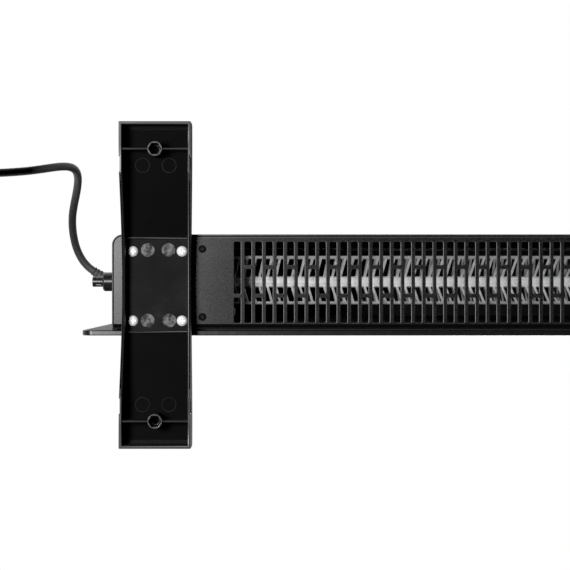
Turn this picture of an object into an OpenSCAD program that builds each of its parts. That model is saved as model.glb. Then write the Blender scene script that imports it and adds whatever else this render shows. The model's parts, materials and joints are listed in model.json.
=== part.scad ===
// Glass fronted electric convector heater on two moulded feet, in millimetres.
// X runs along the heater, Y towards the wall behind it, Z up, and the floor is Z = 0.

/* [Casing] */
// Width of the steel casing
body_w = 760; // [680:1:900]
// Depth of the casing from front sheet to rear panel
body_d = 71; // [68:0.5:80]
// Height of the casing
body_h = 395; // [380:1:500]
// Distance of the front sheet's face in front of the middle of the feet
front_y = 33; // [28:0.5:36]
// Thickness of the outer steel sheet
sheet_t = 1.2; // [0.8:0.1:1.6]
// Thickness of the inner steel sheet
inner_t = 0.8; // [0.5:0.1:1.2]
// Radius of the upright rear corners
corner_r = 8; // [6:0.5:12]
// Depth of the turned flanges that join the sheets
flange_d = 12; // [8:0.5:16]
// Reach of the end caps' flanges along the rear
cap_flange = 18; // [14:0.5:24]
// Lap of the rear panel over the end caps' flanges
rear_lap = 8; // [7:0.5:10]
// Gap left between sheets that slide past each other
fit = 0.3; // [0.2:0.05:0.4]

/* [Glass] */
// Thickness of the glass panel
glass_t = 4; // [3:0.5:6]
// Height of the glass above the top of the casing
glass_top = 5.3; // [1:0.1:20]
// Overhang of the glass past each side of the casing
glass_over = 23; // [15:0.5:40]
// Distance of the glass's lower edge above the casing's underside
glass_rise = 0.3; // [0.3:0.1:3]
// Radius of the glass's corners
glass_r = 8; // [4:0.5:15]
// Thickness of the bonding tape behind the glass
tape_t = 1; // [0.5:0.1:2]
// Width of the bonding tape
tape_w = 14; // [8:0.5:20]

/* [Feet] */
// Length of each foot from front to back
foot_len = 240; // [220:1:300]
// Width of each foot at its ends
foot_w = 53; // [50:0.5:60]
// Amount that each side is drawn in at mid length
foot_waist = 1.2; // [0:0.1:3]
// Distance of the foot's outer side inside the casing's side
foot_inset = 8; // [4:0.5:14]
// Height of the casing's underside above the floor
seat_h = 28; // [26:0.5:36]
// Height of each toe
toe_h = 20; // [16:0.5:24]
// Wall of the moulded foot
foot_wall = 2.3; // [1.8:0.1:3]
// Thickness of the plate that the casing stands on
seat_t = 3; // [2.5:0.1:4]
// Length of the flat seat
seat_l = 70; // [64:0.5:76]
// Length of rim that stands on the floor at each toe
toe_rim = 25.7; // [22:0.1:30]
// Length of the shallow recess beside each rim
rim_recess = 11; // [6:0.5:14]
// Rise of the arch between the toes
arch_rise = 13.5; // [8:0.5:15]
// Distance of each castor boss from the end of its foot
boss_inset = 20; // [18:0.5:24]
// Diameter of a screw boss
boss_d = 11; // [10:0.5:14]
// Width across the flats of a nut pocket
nut_pocket_af = 8; // [7:0.1:9]
// Diameter of the bore above a nut pocket
boss_bore = 5.4; // [4.5:0.1:6]

/* [Fasteners] */
// Pitch of the foot screws along the heater
foot_screw_x = 36.8; // [30:0.2:40]
// Pitch of the foot screws from front to back
foot_screw_y = 52; // [44:0.5:56]
// Offset of the foot screws from the middle of the feet
foot_screw_off = -0.8; // [-2:0.1:2]
// Diameter of a foot screw
foot_screw_d = 3.5; // [3:0.1:3.6]
// Head diameter of a foot screw
foot_head_d = 8; // [6:0.5:9]
// Diameter of a sheet screw
sheet_screw_d = 3; // [2.5:0.1:3.5]
// Head diameter of a sheet screw
sheet_head_d = 6; // [5:0.5:7]
// Width across the flats of a foot nut
nut_af = 6; // [5.5:0.5:7]
// Height of a foot nut
nut_h = 2.8; // [2.4:0.1:3.2]

/* [Grilles] */
// Columns of slots in each grille
slot_count = 72; // [40:1:80]
// Distance from one slot column to the next
slot_pitch = 8; // [7:0.5:8]
// Width of a slot
slot_w = 5; // [3:0.5:5.5]
// Front end of the slots
slot_y0 = -28.4; // [-28.6:0.1:-24]
// Back end of the slots
slot_y1 = 32.5; // [28:0.1:32.6]
// Width of the bridge across a slot
bridge_w = 3; // [2:0.5:4]
// Place of the bridge in the first column
bridge_y_odd = -8; // [-12:0.5:-4]
// Place of the bridge in the second column
bridge_y_even = 13.5; // [10:0.5:18]
// Offset of the slots along the heater
slot_off = 1.8; // [-2:0.1:2]

/* [Heating element] */
// Width of the bay for the controls at each end of the casing
bay_w = 78; // [76:0.5:84]
// Gap between the finned profile and each partition
element_gap = 12; // [10:0.5:20]
// Height of the element's middle above the floor
element_z = 75; // [70:1:100]
// Distance of the element's middle behind the middle of the feet
element_y = 2.5; // [0:0.5:4]
// Diameter of the profile's round core
core_d = 8.6; // [8:0.1:10]
// Diameter of the sheathed heating rod
rod_d = 6; // [5:0.1:6.5]
// Slope of the four wings
wing_angle = 40; // [30:1:50]
// Distance of the front rails' outer edge from the middle, seen from below
wing_reach = 17; // [14:0.5:20]
// The same for the rear rails
rear_reach = 19.6; // [14:0.1:22]
// Thickness of a wing
wing_t = 1.4; // [1:0.1:2]
// Distance from one blade to the next
blade_pitch = 6.3; // [5:0.1:8]
// Width of one blade
blade_w = 2.2; // [1.5:0.1:3]
// Height left between the duct and the top of the casing
outlet_h = 95; // [85:1:110]

/* [Controls] */
// Height of the rocker switch
rocker_z = 140; // [134:1:150]
// Distance of the rocker switch behind the middle of the feet
rocker_y = 2; // [-4:0.5:8]
// Length of the rocker
rocker_l = 16.4; // [14:0.2:18]
// Width of the rocker
rocker_w = 10.2; // [8:0.2:12]
// Tilt of the rocker each way from level
rocker_tilt = 9; // [6:0.5:12]
// Clearance around the rocker
rocker_gap = 0.9; // [0.9:0.1:1.2]
// Diameter of the rocker's and the pendulum's pivot pins
pivot_d = 3; // [2.5:0.1:3.5]
// Radial clearance in a pivot
pivot_gap = 0.05; // [0.03:0.01:0.08]
// Height of the tilt pendulum's pivot
tip_z = 60; // [58:0.5:66]
// Distance of the tilt switch inside the casing's right side
tip_side = 45; // [44:0.5:46]
// Length of the pendulum below its pivot
bob_l = 16; // [14:0.5:18]
// Radius of the pendulum's weight
bob_r = 7; // [5:0.5:8]
// Height of the air sensor
sensor_z = 42; // [40:0.5:44]
// Distance of the air sensor behind the middle of the feet
sensor_y = 2.5; // [0:0.5:5]
// Diameter of the sensor's collar
collar_d = 14.4; // [12:0.2:16]
// Length of the sensor's collar
collar_l = 8; // [6:0.5:9]
// Diameter of the sensor's cap
cap_d = 7.8; // [7:0.1:9]
// Length of the sensor's cap
cap_l = 8; // [6:0.5:9]
// Distance of the display's middle inside the casing's right side
display_side = 51; // [50:0.5:54]
// Distance of the touch display below the top of the casing
display_drop = 48; // [36:1:80]

/* [Mains lead] */
// Diameter of the mains lead
cord_d = 6; // [5:0.1:6.4]
// Height at which the lead leaves the casing
cord_exit_z = 70; // [68:1:72]
// Distance of the lead's exit behind the middle of the feet
cord_exit_y = 3.5; // [2:0.5:5]
// Distance between turns of the coil
coil_pitch = 6.6; // [6.5:0.1:7]
// Radius of the coil's outermost turn
coil_r = 45; // [44:0.5:48]
// Thickness of the strap that ties the coil
tie_t = 0.7; // [0.5:0.1:1]
// Width of the strap
tie_w = 10; // [8:1:16]
// Diameter of the plug's face
plug_d = 37; // [34:0.5:40]
// Diameter of the plug's grip
grip_d = 22; // [18:0.5:24]
// Length of the plug's grip
grip_l = 24; // [20:0.5:30]
// Diameter of a plug pin
pin_d = 4.8; // [4:0.1:5]
// Length of a plug pin
pin_l = 19; // [17:0.5:20]
// Distance between the plug pins
pin_pitch = 19; // [18:0.1:20]

/* [Hidden] */

cut = 1;
round_fn = 48;
half_w = body_w / 2;
rear_y = body_d - front_y;
body_z0 = seat_h;
body_z1 = seat_h + body_h;
cap_inner_x = half_w - corner_r - cap_flange;
front_in = sheet_t - front_y;
rear_in = rear_y - sheet_t;
foot_x = half_w - foot_inset - foot_w / 2;
foot_screw_spots = [for (sx = [-1, 1], sy = [-1, 1]) [sx * foot_screw_x / 2, foot_screw_off + sy * foot_screw_y / 2]];
bottom_screw_spots = [[0, 27], [0, -24]];
bottom_screw_x = 10;
floor_in = body_z0 + sheet_t;
glass_h = body_h + glass_top - glass_rise;
boss_span = foot_len - 2 * boss_inset;
duct_h = body_h - outlet_h;
partition_x = half_w - bay_w;
element_l = 2 * (partition_x - element_gap);
tip_x = half_w - tip_side;
display_x = half_w - display_side;

function unit(v) = v / norm(v);

// Direction of a path at one of its points
function path_dir(path, i) =
    let (last = len(path) - 1)
    unit(path[min(i + 1, last)] - path[max(i - 1, 0)]);

// A sideways vector at each point that turns as little as it can along the path
function path_sides(path) = [
    for (
        i = 0, n = unit(cross(path_dir(path, 0), [0.1, 0.2, 1]));
        i < len(path);
        i = i + 1, n = unit(n - (n * path_dir(path, min(i, len(path) - 1))) * path_dir(path, min(i, len(path) - 1)))
    ) n
];

// A closed tube along a path, with its own radius at each point
module tube(path, radii, sides) {
    rings = len(path);
    across = path_sides(path);
    points = [
        for (i = [0 : rings - 1], j = [0 : sides - 1])
            let (n = across[i], b = cross(path_dir(path, i), n), a = 360 * j / sides)
            path[i] + radii[i] * (n * cos(a) + b * sin(a))
    ];
    walls = [
        for (i = [0 : rings - 2], j = [0 : sides - 1])
            let (k = (j + 1) % sides, low = i * sides, high = low + sides)
            each [[low + j, high + j, high + k], [low + j, high + k, low + k]]
    ];
    start = [for (j = [1 : sides - 2]) [0, j, j + 1]];
    last = (rings - 1) * sides;
    finish = [for (j = [1 : sides - 2]) [last, last + j + 1, last + j]];
    polyhedron(points = points, faces = concat(walls, start, finish), convexity = 10);
}

module even_tube(path, d, sides) {
    tube(path, [for (p = path) d / 2], sides);
}

// A box from its low corner to its high corner
module span(low, high) {
    translate(low)
        cube(high - low);
}

module both_ends() {
    children();
    mirror([1, 0, 0])
        children();
}

// A pan head screw whose head lies below Z = 0 and whose shank points up
module pan_screw(d, head_d, head_h, length) {
    dome_r = (head_d * head_d / 4 + head_h * head_h) / (2 * head_h);
    cylinder(d = d, h = length, $fn = round_fn);
    difference() {
        intersection() {
            translate([0, 0, dome_r - head_h])
                sphere(r = dome_r, $fn = 96);
            translate([0, 0, -head_h])
                cylinder(d = head_d, h = head_h, $fn = round_fn);
        }
        for (a = [0, 90])
            rotate([0, 0, a])
                translate([-head_d * 0.28, -head_d * 0.06, -head_h - cut])
                    cube([head_d * 0.56, head_d * 0.12, head_h * 0.5 + cut]);
    }
}

/* Glass front */

glass_back = tape_t + front_y;

module glass_outline(inset) {
    w = half_w + glass_over - inset;
    h = glass_h - inset;
    translate([-w + glass_r, inset])
        square([2 * (w - glass_r), h - inset]);
    translate([-w, inset + glass_r])
        square([2 * w, h - inset - 2 * glass_r]);
    for (x = [-w + glass_r, w - glass_r], z = [inset + glass_r, h - glass_r])
        translate([x, z])
            circle(r = glass_r, $fn = round_fn);
}

module glass_panel() {
    color([0.03, 0.03, 0.035])
        translate([0, -glass_back, body_z0 + glass_rise])
            rotate([90, 0, 0])
                linear_extrude(glass_t)
                    glass_outline(0);
}

module glass_tape() {
    edge = tape_w / 2;
    color([0.1, 0.1, 0.1])
        difference() {
            span([-half_w + edge, -glass_back, body_z0 + edge], [half_w - edge, -front_y, body_z1 - edge]);
            span(
                [-half_w + edge + tape_w, -glass_back - cut, body_z0 + edge + tape_w],
                [half_w - edge - tape_w, -front_y + cut, body_z1 - edge - tape_w]
            );
        }
}

/* Sheet steel casing */

display_z = body_z1 - display_drop;
display_w = 56;
display_h = 24;

module front_panel() {
    color([0.06, 0.06, 0.06])
        difference() {
            span(
                [-half_w + sheet_t + fit, -front_y, body_z0],
                [half_w - sheet_t - fit, front_in, body_z1]
            );
            span(
                [display_x - display_w / 2, -front_y - cut, display_z - display_h / 2],
                [display_x + display_w / 2, front_in + cut, display_z + display_h / 2]
            );
        }
}

rear_w = cap_inner_x + rear_lap - fit;
keyhole_x = 200;
keyhole_z = body_z1 - 60;
keyhole_d = 10;
keyhole_slot = 5;
keyhole_rise = 10;
rear_screw_x = cap_inner_x + (rear_w - cap_inner_x) / 2;
rear_screw_z = [for (share = [0.21, 0.56, 0.92]) body_z0 + share * body_h];

module rear_panel() {
    color([0.06, 0.06, 0.06])
        difference() {
            span([-rear_w, rear_in, body_z0], [rear_w, rear_y, body_z1]);
            for (x = [-keyhole_x, keyhole_x]) {
                translate([x, rear_in - cut, keyhole_z])
                    rotate([-90, 0, 0])
                        cylinder(d = keyhole_d, h = sheet_t + 2 * cut, $fn = round_fn);
                translate([x, rear_in - cut, keyhole_z + keyhole_rise])
                    rotate([-90, 0, 0])
                        cylinder(d = keyhole_slot, h = sheet_t + 2 * cut, $fn = round_fn);
                span(
                    [x - keyhole_slot / 2, rear_in - cut, keyhole_z],
                    [x + keyhole_slot / 2, rear_y + cut, keyhole_z + keyhole_rise]
                );
            }
            rear_screw_holes();
        }
}

module rear_screw_holes() {
    for (x = [-rear_screw_x, rear_screw_x], z = rear_screw_z)
        translate([x, rear_in - sheet_t - cut, z])
            rotate([-90, 0, 0])
                cylinder(d = sheet_screw_d + 2 * pivot_gap, h = 2 * sheet_t + 2 * cut, $fn = round_fn);
}

module rear_screws() {
    color([0.1, 0.1, 0.1])
        for (x = [-rear_screw_x, rear_screw_x], z = rear_screw_z)
            translate([x, rear_y, z])
                rotate([90, 0, 0])
                    pan_screw(sheet_screw_d, sheet_head_d, 2, 7);
}

// Cross section of the right end cap, seen from above
module cap_side_2d() {
    translate([half_w - sheet_t, -front_y - tape_t + fit])
        square([sheet_t, body_d + tape_t - fit - corner_r]);
    intersection() {
        difference() {
            translate([half_w - corner_r, rear_y - corner_r])
                circle(r = corner_r, $fn = 96);
            translate([half_w - corner_r, rear_y - corner_r])
                circle(r = corner_r - sheet_t, $fn = 96);
        }
        translate([half_w - corner_r, rear_y - corner_r])
            square(corner_r);
    }
    translate([rear_w + fit, rear_in])
        square([half_w - corner_r - rear_w - fit, sheet_t]);
}

module cap_flanges_2d() {
    translate([rear_w + fit, rear_in - sheet_t])
        square([sheet_t, 2 * sheet_t]);
    translate([cap_inner_x, rear_in - sheet_t])
        square([rear_w + fit + sheet_t - cap_inner_x, sheet_t]);
    translate([rear_w, front_in])
        square([half_w - sheet_t / 2 - rear_w, sheet_t]);
}

module plain_end_cap() {
    translate([0, 0, body_z0])
        linear_extrude(body_h)
            cap_side_2d();
    translate([0, 0, floor_in + fit])
        linear_extrude(body_h - 2 * sheet_t - 2 * fit)
            cap_flanges_2d();
}

cord_exit = [half_w, cord_exit_y, cord_exit_z];
rocker_open_l = rocker_l + 2 * rocker_gap;
rocker_open_w = rocker_w + 2 * fit;
bezel_wall = 1.3;
bezel_l = rocker_open_l + 2 * bezel_wall;
bezel_w = rocker_open_w + 2 * bezel_wall;
relief_neck = 9.6;
sensor_stem = 6;

module end_cap_right() {
    color([0.08, 0.08, 0.08])
        difference() {
            plain_end_cap();
            rear_screw_holes();
            span(
                [half_w - sheet_t - cut, rocker_y - bezel_w / 2 - pivot_gap, rocker_z - bezel_l / 2 - pivot_gap],
                [half_w + cut, rocker_y + bezel_w / 2 + pivot_gap, rocker_z + bezel_l / 2 + pivot_gap]
            );
            translate([half_w - sheet_t - cut, cord_exit_y, cord_exit_z])
                rotate([0, 90, 0])
                    cylinder(d = relief_neck + 2 * pivot_gap, h = sheet_t + 2 * cut, $fn = round_fn);
            translate([half_w - sheet_t - cut, sensor_y, sensor_z])
                rotate([0, 90, 0])
                    cylinder(d = sensor_stem + 2 * pivot_gap, h = sheet_t + 2 * cut, $fn = round_fn);
        }
}

module end_cap_left() {
    color([0.08, 0.08, 0.08])
        mirror([1, 0, 0])
            difference() {
                plain_end_cap();
                rear_screw_holes();
            }
}

// Outline of the bottom and top plates, whose rear corners follow the end caps
module plate_outline() {
    wide = half_w - sheet_t - fit;
    corner = corner_r - sheet_t - fit;
    back = rear_in - fit;
    translate([-cap_inner_x + fit, front_in])
        square([2 * (cap_inner_x - fit), rear_in - front_in]);
    translate([-wide + corner, front_in])
        square([2 * (wide - corner), back - front_in]);
    translate([-wide, front_in])
        square([2 * wide, back - corner - front_in]);
    for (x = [-wide + corner, wide - corner])
        translate([x, back - corner])
            circle(r = corner, $fn = 96);
}

slot_x0 = slot_off + (slot_count * slot_pitch - (slot_pitch - slot_w)) / 2;

module grille_slots_2d() {
    for (k = [0 : slot_count - 1])
        let (
            x = slot_x0 - slot_w - k * slot_pitch,
            bridge = k % 2 == 0 ? bridge_y_odd : bridge_y_even
        ) {
            translate([x, slot_y0])
                square([slot_w, bridge - bridge_w / 2 - slot_y0]);
            translate([x, bridge + bridge_w / 2])
                square([slot_w, slot_y1 - bridge - bridge_w / 2]);
        }
}

module grille_plate() {
    linear_extrude(sheet_t)
        difference() {
            plate_outline();
            grille_slots_2d();
        }
    inner = cap_inner_x - fit;
    span([-inner, front_in, 0], [inner, front_in + sheet_t, flange_d]);
    span([-inner, rear_in - sheet_t, 0], [inner, rear_in, flange_d]);
}

module foot_screw_holes() {
    for (side = [-foot_x, foot_x], spot = foot_screw_spots)
        translate([side + spot[0], spot[1], body_z0 - cut])
            cylinder(d = foot_screw_d + fit, h = sheet_t + 2 * cut, $fn = round_fn);
}

module bottom_screw_holes() {
    for (side = [-1, 1], spot = bottom_screw_spots)
        translate([side * (partition_x + bottom_screw_x), spot[1], body_z0 - cut])
            cylinder(d = sheet_screw_d + 2 * pivot_gap, h = sheet_t + inner_t + 2 * cut, $fn = round_fn);
}

module bottom_plate() {
    color([0.16, 0.16, 0.165])
        difference() {
            translate([0, 0, body_z0])
                grille_plate();
            foot_screw_holes();
            bottom_screw_holes();
        }
}

module top_grille() {
    color([0.12, 0.12, 0.125])
        translate([0, 0, body_z1])
            mirror([0, 0, 1])
                grille_plate();
}

/* Feet */

function foot_half(y) = foot_w / 2 - foot_waist * (0.5 + 0.5 * cos(360 * y / foot_len));

foot_steps = 16;

module foot_plan(inset) {
    ys = [for (i = [0 : foot_steps]) (foot_len / 2 - inset) * (2 * i / foot_steps - 1)];
    polygon(concat(
        [for (y = ys) [foot_half(y) - inset, y]],
        [for (i = [foot_steps : -1 : 0]) [inset - foot_half(ys[i]), ys[i]]]
    ));
}

// Side view of the foot, or of its hollow where the wall is taken off
module foot_side(wall, top) {
    end = foot_len / 2 - wall;
    toe = toe_h - wall;
    edge = 2.5;
    floor_z = wall > 0 ? -cut : 0;
    polygon([
        [-end, floor_z], [end, floor_z], [end, toe - edge], [end - edge, toe],
        [seat_l / 2 + 1, seat_h - top], [-seat_l / 2 - 1, seat_h - top],
        [-end + edge, toe], [-end, toe - edge]
    ]);
}

module along_x(width) {
    translate([-width / 2, 0, 0])
        rotate([90, 0, 90])
            linear_extrude(width)
                children();
}

arch_half = foot_len / 2 - toe_rim - rim_recess;
arch_r = (arch_half * arch_half + arch_rise * arch_rise) / (2 * arch_rise);
pocket_z = 8.5;
bore_top = 14.5;

module foot_hollow() {
    intersection() {
        translate([0, 0, -cut])
            linear_extrude(seat_h + cut)
                foot_plan(foot_wall);
        along_x(foot_w)
            foot_side(foot_wall, seat_t);
    }
}

module foot_ribs() {
    rib = 1.2;
    for (y = [-boss_span / 2, boss_span / 2]) {
        translate([-foot_half(y) + foot_wall / 2, y - rib / 2, 1.5])
            cube([2 * foot_half(y) - foot_wall, rib, toe_h - 2.5]);
        translate([0, y, 0.5])
            cylinder(d = boss_d, h = toe_h - 1.5, $fn = round_fn);
    }
    for (y = [-seat_l / 2, seat_l / 2])
        translate([-foot_half(y) + foot_wall / 2, y - rib / 2, seat_h - seat_t - 3.5])
            cube([2 * foot_half(y) - foot_wall, rib, 4.5]);
}

module foot() {
    difference() {
        union() {
            difference() {
                intersection() {
                    linear_extrude(seat_h)
                        foot_plan(0);
                    along_x(foot_w)
                        foot_side(0, 0);
                }
                foot_hollow();
            }
            foot_ribs();
        }
        translate([-foot_w / 2 - cut, 0, arch_rise - arch_r])
            rotate([0, 90, 0])
                cylinder(r = arch_r, h = foot_w + 2 * cut, $fn = 256);
        for (side = [-1, 1], y = [-1, 1])
            translate([side * (foot_w / 2 + 4.2), y * (arch_half + rim_recess / 2), 3])
                cube([10, rim_recess, 10], center = true);
        for (y = [-boss_span / 2, boss_span / 2])
            translate([0, y, 0]) {
                cylinder(d = nut_pocket_af / cos(30), h = pocket_z, $fn = 6);
                cylinder(d = boss_bore, h = bore_top, $fn = round_fn);
            }
        for (spot = foot_screw_spots)
            translate([spot[0], spot[1], seat_h - seat_t - cut])
                cylinder(d = foot_screw_d + fit, h = seat_t + 2 * cut, $fn = round_fn);
    }
}

module foot_right() {
    color([0.1, 0.1, 0.1])
        translate([foot_x, 0, 0])
            foot();
}

module foot_left() {
    color([0.1, 0.1, 0.1])
        translate([-foot_x, 0, 0])
            foot();
}

module foot_screws(side) {
    color([0.85, 0.85, 0.85])
        for (spot = foot_screw_spots)
            translate([side * foot_x + spot[0], spot[1], seat_h - seat_t])
                pan_screw(foot_screw_d, foot_head_d, 2.8, seat_t + sheet_t + nut_h + 0.6);
}

module foot_nuts() {
    color([0.7, 0.7, 0.7])
        for (side = [-foot_x, foot_x], spot = foot_screw_spots)
            translate([side + spot[0], spot[1], floor_in])
                difference() {
                    cylinder(d = nut_af / cos(30), h = nut_h, $fn = 6);
                    translate([0, 0, -cut])
                        cylinder(d = foot_screw_d + 2 * pivot_gap, h = nut_h + 2 * cut, $fn = round_fn);
                }
}

module bottom_plate_screws() {
    color([0.08, 0.08, 0.08])
        for (side = [-1, 1], spot = bottom_screw_spots)
            translate([side * (partition_x + bottom_screw_x), spot[1], body_z0])
                pan_screw(sheet_screw_d, sheet_head_d, 2, 7);
}

/* Air duct */

insulator_d = 13.8;

module partition() {
    difference() {
        union() {
            span(
                [partition_x, front_in + sheet_t + fit, floor_in],
                [partition_x + inner_t, rear_in - sheet_t - fit, body_z0 + duct_h]
            );
            span(
                [partition_x, front_in + sheet_t + fit, floor_in],
                [partition_x + 2 * bottom_screw_x, rear_in - sheet_t - fit, floor_in + inner_t]
            );
        }
        translate([partition_x - cut, element_y, element_z])
            rotate([0, 90, 0])
                cylinder(d = insulator_d + 2 * pivot_gap, h = inner_t + 2 * cut, $fn = round_fn);
        bottom_screw_holes();
    }
}

module partition_right() {
    color([0.5, 0.5, 0.5])
        partition();
}

module partition_left() {
    color([0.5, 0.5, 0.5])
        mirror([1, 0, 0])
            partition();
}

module baffle(y) {
    color([0.35, 0.35, 0.35])
        span(
            [-partition_x + fit, y, floor_in],
            [partition_x - fit, y + inner_t, body_z0 + duct_h]
        );
}

deflector_gap = 4;
deflector_lap = 4;
deflector_rise = 10;
deflector_z = body_z0 + duct_h + 16;
outlet_gap = 24;

// A sheet drawn by its lower line from front to back
module sheet_strip(line) {
    along_x(2 * (partition_x - deflector_gap))
        polygon(concat(line, [for (i = [len(line) - 1 : -1 : 0]) line[i] + [0, inner_t]]));
}

// The sheets lap in the middle, so that the outlet isn't seen through from below
module deflector_front() {
    y = front_in + fit;
    color([0.2, 0.2, 0.2]) {
        sheet_strip([[y, deflector_z], [element_y + deflector_lap, deflector_z + deflector_rise]]);
        span(
            [deflector_gap - partition_x, y, deflector_z + inner_t],
            [partition_x - deflector_gap, y + inner_t, deflector_z + flange_d]
        );
    }
}

module deflector_rear() {
    y = rear_in - fit;
    low = deflector_z + outlet_gap;
    color([0.2, 0.2, 0.2]) {
        sheet_strip([[element_y - deflector_lap, low + deflector_rise], [y, low]]);
        span(
            [deflector_gap - partition_x, y - inner_t, low + inner_t],
            [partition_x - deflector_gap, y, low + flange_d]
        );
    }
}

/* Heating element */

blade_rho0 = core_d / 2 + 1.6;
wing_rail = 3;
blade_lean = -3.5;
blade_count = floor((element_l - 2 * blade_pitch) / blade_pitch);

// One louvred wing, flat, with its inner edge along the core
module wing_2d(reach) {
    wing_rho = reach / cos(wing_angle);
    blade_rho1 = wing_rho - wing_rail;
    gap = blade_pitch - blade_w;
    x0 = -blade_count * blade_pitch / 2;
    difference() {
        translate([-element_l / 2, core_d / 2 - 0.6])
            square([element_l, wing_rho - core_d / 2 + 0.6]);
        for (k = [0 : blade_count - 1])
            let (x = x0 + k * blade_pitch)
            polygon([
                [x, blade_rho0], [x + gap, blade_rho0],
                [x + gap + blade_lean, blade_rho1], [x + blade_lean, blade_rho1]
            ]);
    }
}

module element_profile() {
    color([0.86, 0.87, 0.88])
        translate([0, element_y, element_z])
            difference() {
                union() {
                    rotate([0, 90, 0])
                        cylinder(d = core_d, h = element_l, center = true, $fn = round_fn);
                    for (a = [wing_angle, 180 - wing_angle, 180 + wing_angle, 360 - wing_angle])
                        rotate([a, 0, 0])
                            translate([0, 0, -wing_t / 2])
                                linear_extrude(wing_t)
                                    wing_2d(cos(a) > 0 ? rear_reach : wing_reach);
                }
                rotate([0, 90, 0])
                    cylinder(d = rod_d + 2 * pivot_gap, h = element_l + 2 * cut, center = true, $fn = round_fn);
            }
}

rod_half = partition_x + 16;

module element_rod() {
    color([0.6, 0.6, 0.58])
        translate([0, element_y, element_z])
            rotate([0, 90, 0]) {
                cylinder(d = rod_d, h = 2 * rod_half - 16, center = true, $fn = round_fn);
                cylinder(d = 2.4, h = 2 * rod_half, center = true, $fn = round_fn);
            }
}

module element_insulators() {
    nose = element_l / 2 + fit;
    color([0.92, 0.9, 0.85])
        both_ends()
            translate([0, element_y, element_z])
                rotate([0, 90, 0])
                    difference() {
                        union() {
                            translate([0, 0, nose])
                                cylinder(d = insulator_d, h = partition_x + 6 - nose, $fn = round_fn);
                            translate([0, 0, partition_x - 3])
                                cylinder(d = insulator_d + 6, h = 3, $fn = round_fn);
                        }
                        translate([0, 0, nose - cut])
                            cylinder(d = rod_d + 2 * pivot_gap, h = partition_x, $fn = round_fn);
                    }
}

cutout_z = element_z + 40;
cutout_x = partition_x + inner_t;

module thermal_cutout() {
    color([0.75, 0.75, 0.75])
        translate([cutout_x, element_y, cutout_z]) {
            span([0, -13, -8], [0.8, 13, 8]);
            rotate([0, 90, 0])
                cylinder(d = 15, h = 7, $fn = round_fn);
            span([7, -6, -0.4], [13, -3, 0.4]);
            span([7, 3, -0.4], [13, 6, 0.4]);
        }
}

module thermal_fuse() {
    color([0.8, 0.75, 0.55])
        translate([cutout_x, element_y + 22, cutout_z]) {
            span([0, -3, -3], [2.5, 3, 3]);
            translate([2.5, 0, -6])
                cylinder(d = 4.4, h = 12, $fn = round_fn);
        }
}

/* Tilt switch */

cheek_gap = 15.6;
hub_d = 12;
hub_l = 12;

module tip_switch_bracket() {
    cheek = cheek_gap / 2;
    color([0.7, 0.7, 0.7])
        translate([tip_x, 0, 0]) {
            span([-cheek - inner_t, -9, floor_in], [cheek + inner_t, 9, floor_in + inner_t]);
            for (side = [-1, 1])
                translate([side * (cheek + inner_t / 2), 0, 0])
                    span([-inner_t / 2, -6, floor_in], [inner_t / 2, 6, tip_z + 18]);
            translate([0, 0, tip_z])
                rotate([0, 90, 0])
                    cylinder(d = pivot_d, h = cheek_gap + inner_t, center = true, $fn = round_fn);
        }
}

module tip_pendulum() {
    color([0.45, 0.45, 0.45])
        translate([tip_x, 0, tip_z])
            difference() {
                union() {
                    rotate([0, 90, 0])
                        cylinder(d = hub_d, h = hub_l, center = true, $fn = round_fn);
                    translate([-1.5, -2, -bob_l])
                        cube([3, 4, bob_l]);
                    translate([0, 0, -bob_l])
                        rotate([0, 90, 0])
                            cylinder(r = bob_r, h = 8, center = true, $fn = round_fn);
                }
                rotate([0, 90, 0])
                    cylinder(d = pivot_d + 2 * pivot_gap, h = hub_l + 2 * cut, center = true, $fn = round_fn);
                translate([-hub_l / 2 - cut, -hub_d / 2, hub_d / 2 - 0.4])
                    cube([hub_l + 2 * cut, hub_d, 1]);
            }
}

module tip_microswitch() {
    base = tip_z + hub_d / 2 + 2.4;
    color([0.12, 0.12, 0.12])
        translate([tip_x, 0, 0]) {
            span([-cheek_gap / 2, -5, base], [cheek_gap / 2, 5, base + 9]);
            translate([0, 0, tip_z + hub_d / 2 + fit])
                cylinder(d = 3, h = 2.6, $fn = round_fn);
        }
}

/* Control board and display */

board_x = half_w - sheet_t - 8.8;
board_t = 1.6;
board_y0 = -22;
board_y1 = 28;
board_over_switch = 50;
board_h = 100;
board_z0 = rocker_z + board_over_switch;
board_z1 = board_z0 + board_h;
standoff_spots = [for (y = [board_y0 + 5, board_y1 - 5], z = [board_z0 + 5, board_z1 - 5]) [y, z]];

module control_board() {
    color([0.05, 0.3, 0.12])
        difference() {
            span([board_x, board_y0, board_z0], [board_x + board_t, board_y1, board_z1]);
            for (spot = standoff_spots)
                translate([board_x - cut, spot[0], spot[1]])
                    rotate([0, 90, 0])
                        cylinder(d = 3 + 2 * pivot_gap, h = board_t + 2 * cut, $fn = round_fn);
        }
}

module board_standoffs() {
    color([0.85, 0.85, 0.8])
        for (spot = standoff_spots)
            translate([board_x + board_t, spot[0], spot[1]])
                rotate([0, 90, 0]) {
                    cylinder(d = 6, h = half_w - sheet_t - board_x - board_t, $fn = round_fn);
                    translate([0, 0, -board_t - 1.5])
                        cylinder(d = 3, h = board_t + 2, $fn = round_fn);
                }
}

module board_components() {
    color([0.15, 0.15, 0.2]) {
        span([board_x - 16, -16, board_z0 + 14], [board_x, 4, board_z0 + 30]);
        span([board_x - 20, -14, board_z0 + 42], [board_x, 10, board_z0 + 66]);
        span([board_x - 10, -18, board_z1 - 20], [board_x, 4, board_z1 - 10]);
        for (z = [board_z0 + 22, board_z0 + 40, board_z0 + 58])
            translate([board_x - 14, 19, z])
                rotate([0, 90, 0])
                    cylinder(d = 10, h = 14, $fn = round_fn);
        span([board_x - 5, 12, board_z1 - 26], [board_x, 22, board_z1 - 12]);
    }
}

carrier_y = -24;

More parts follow.
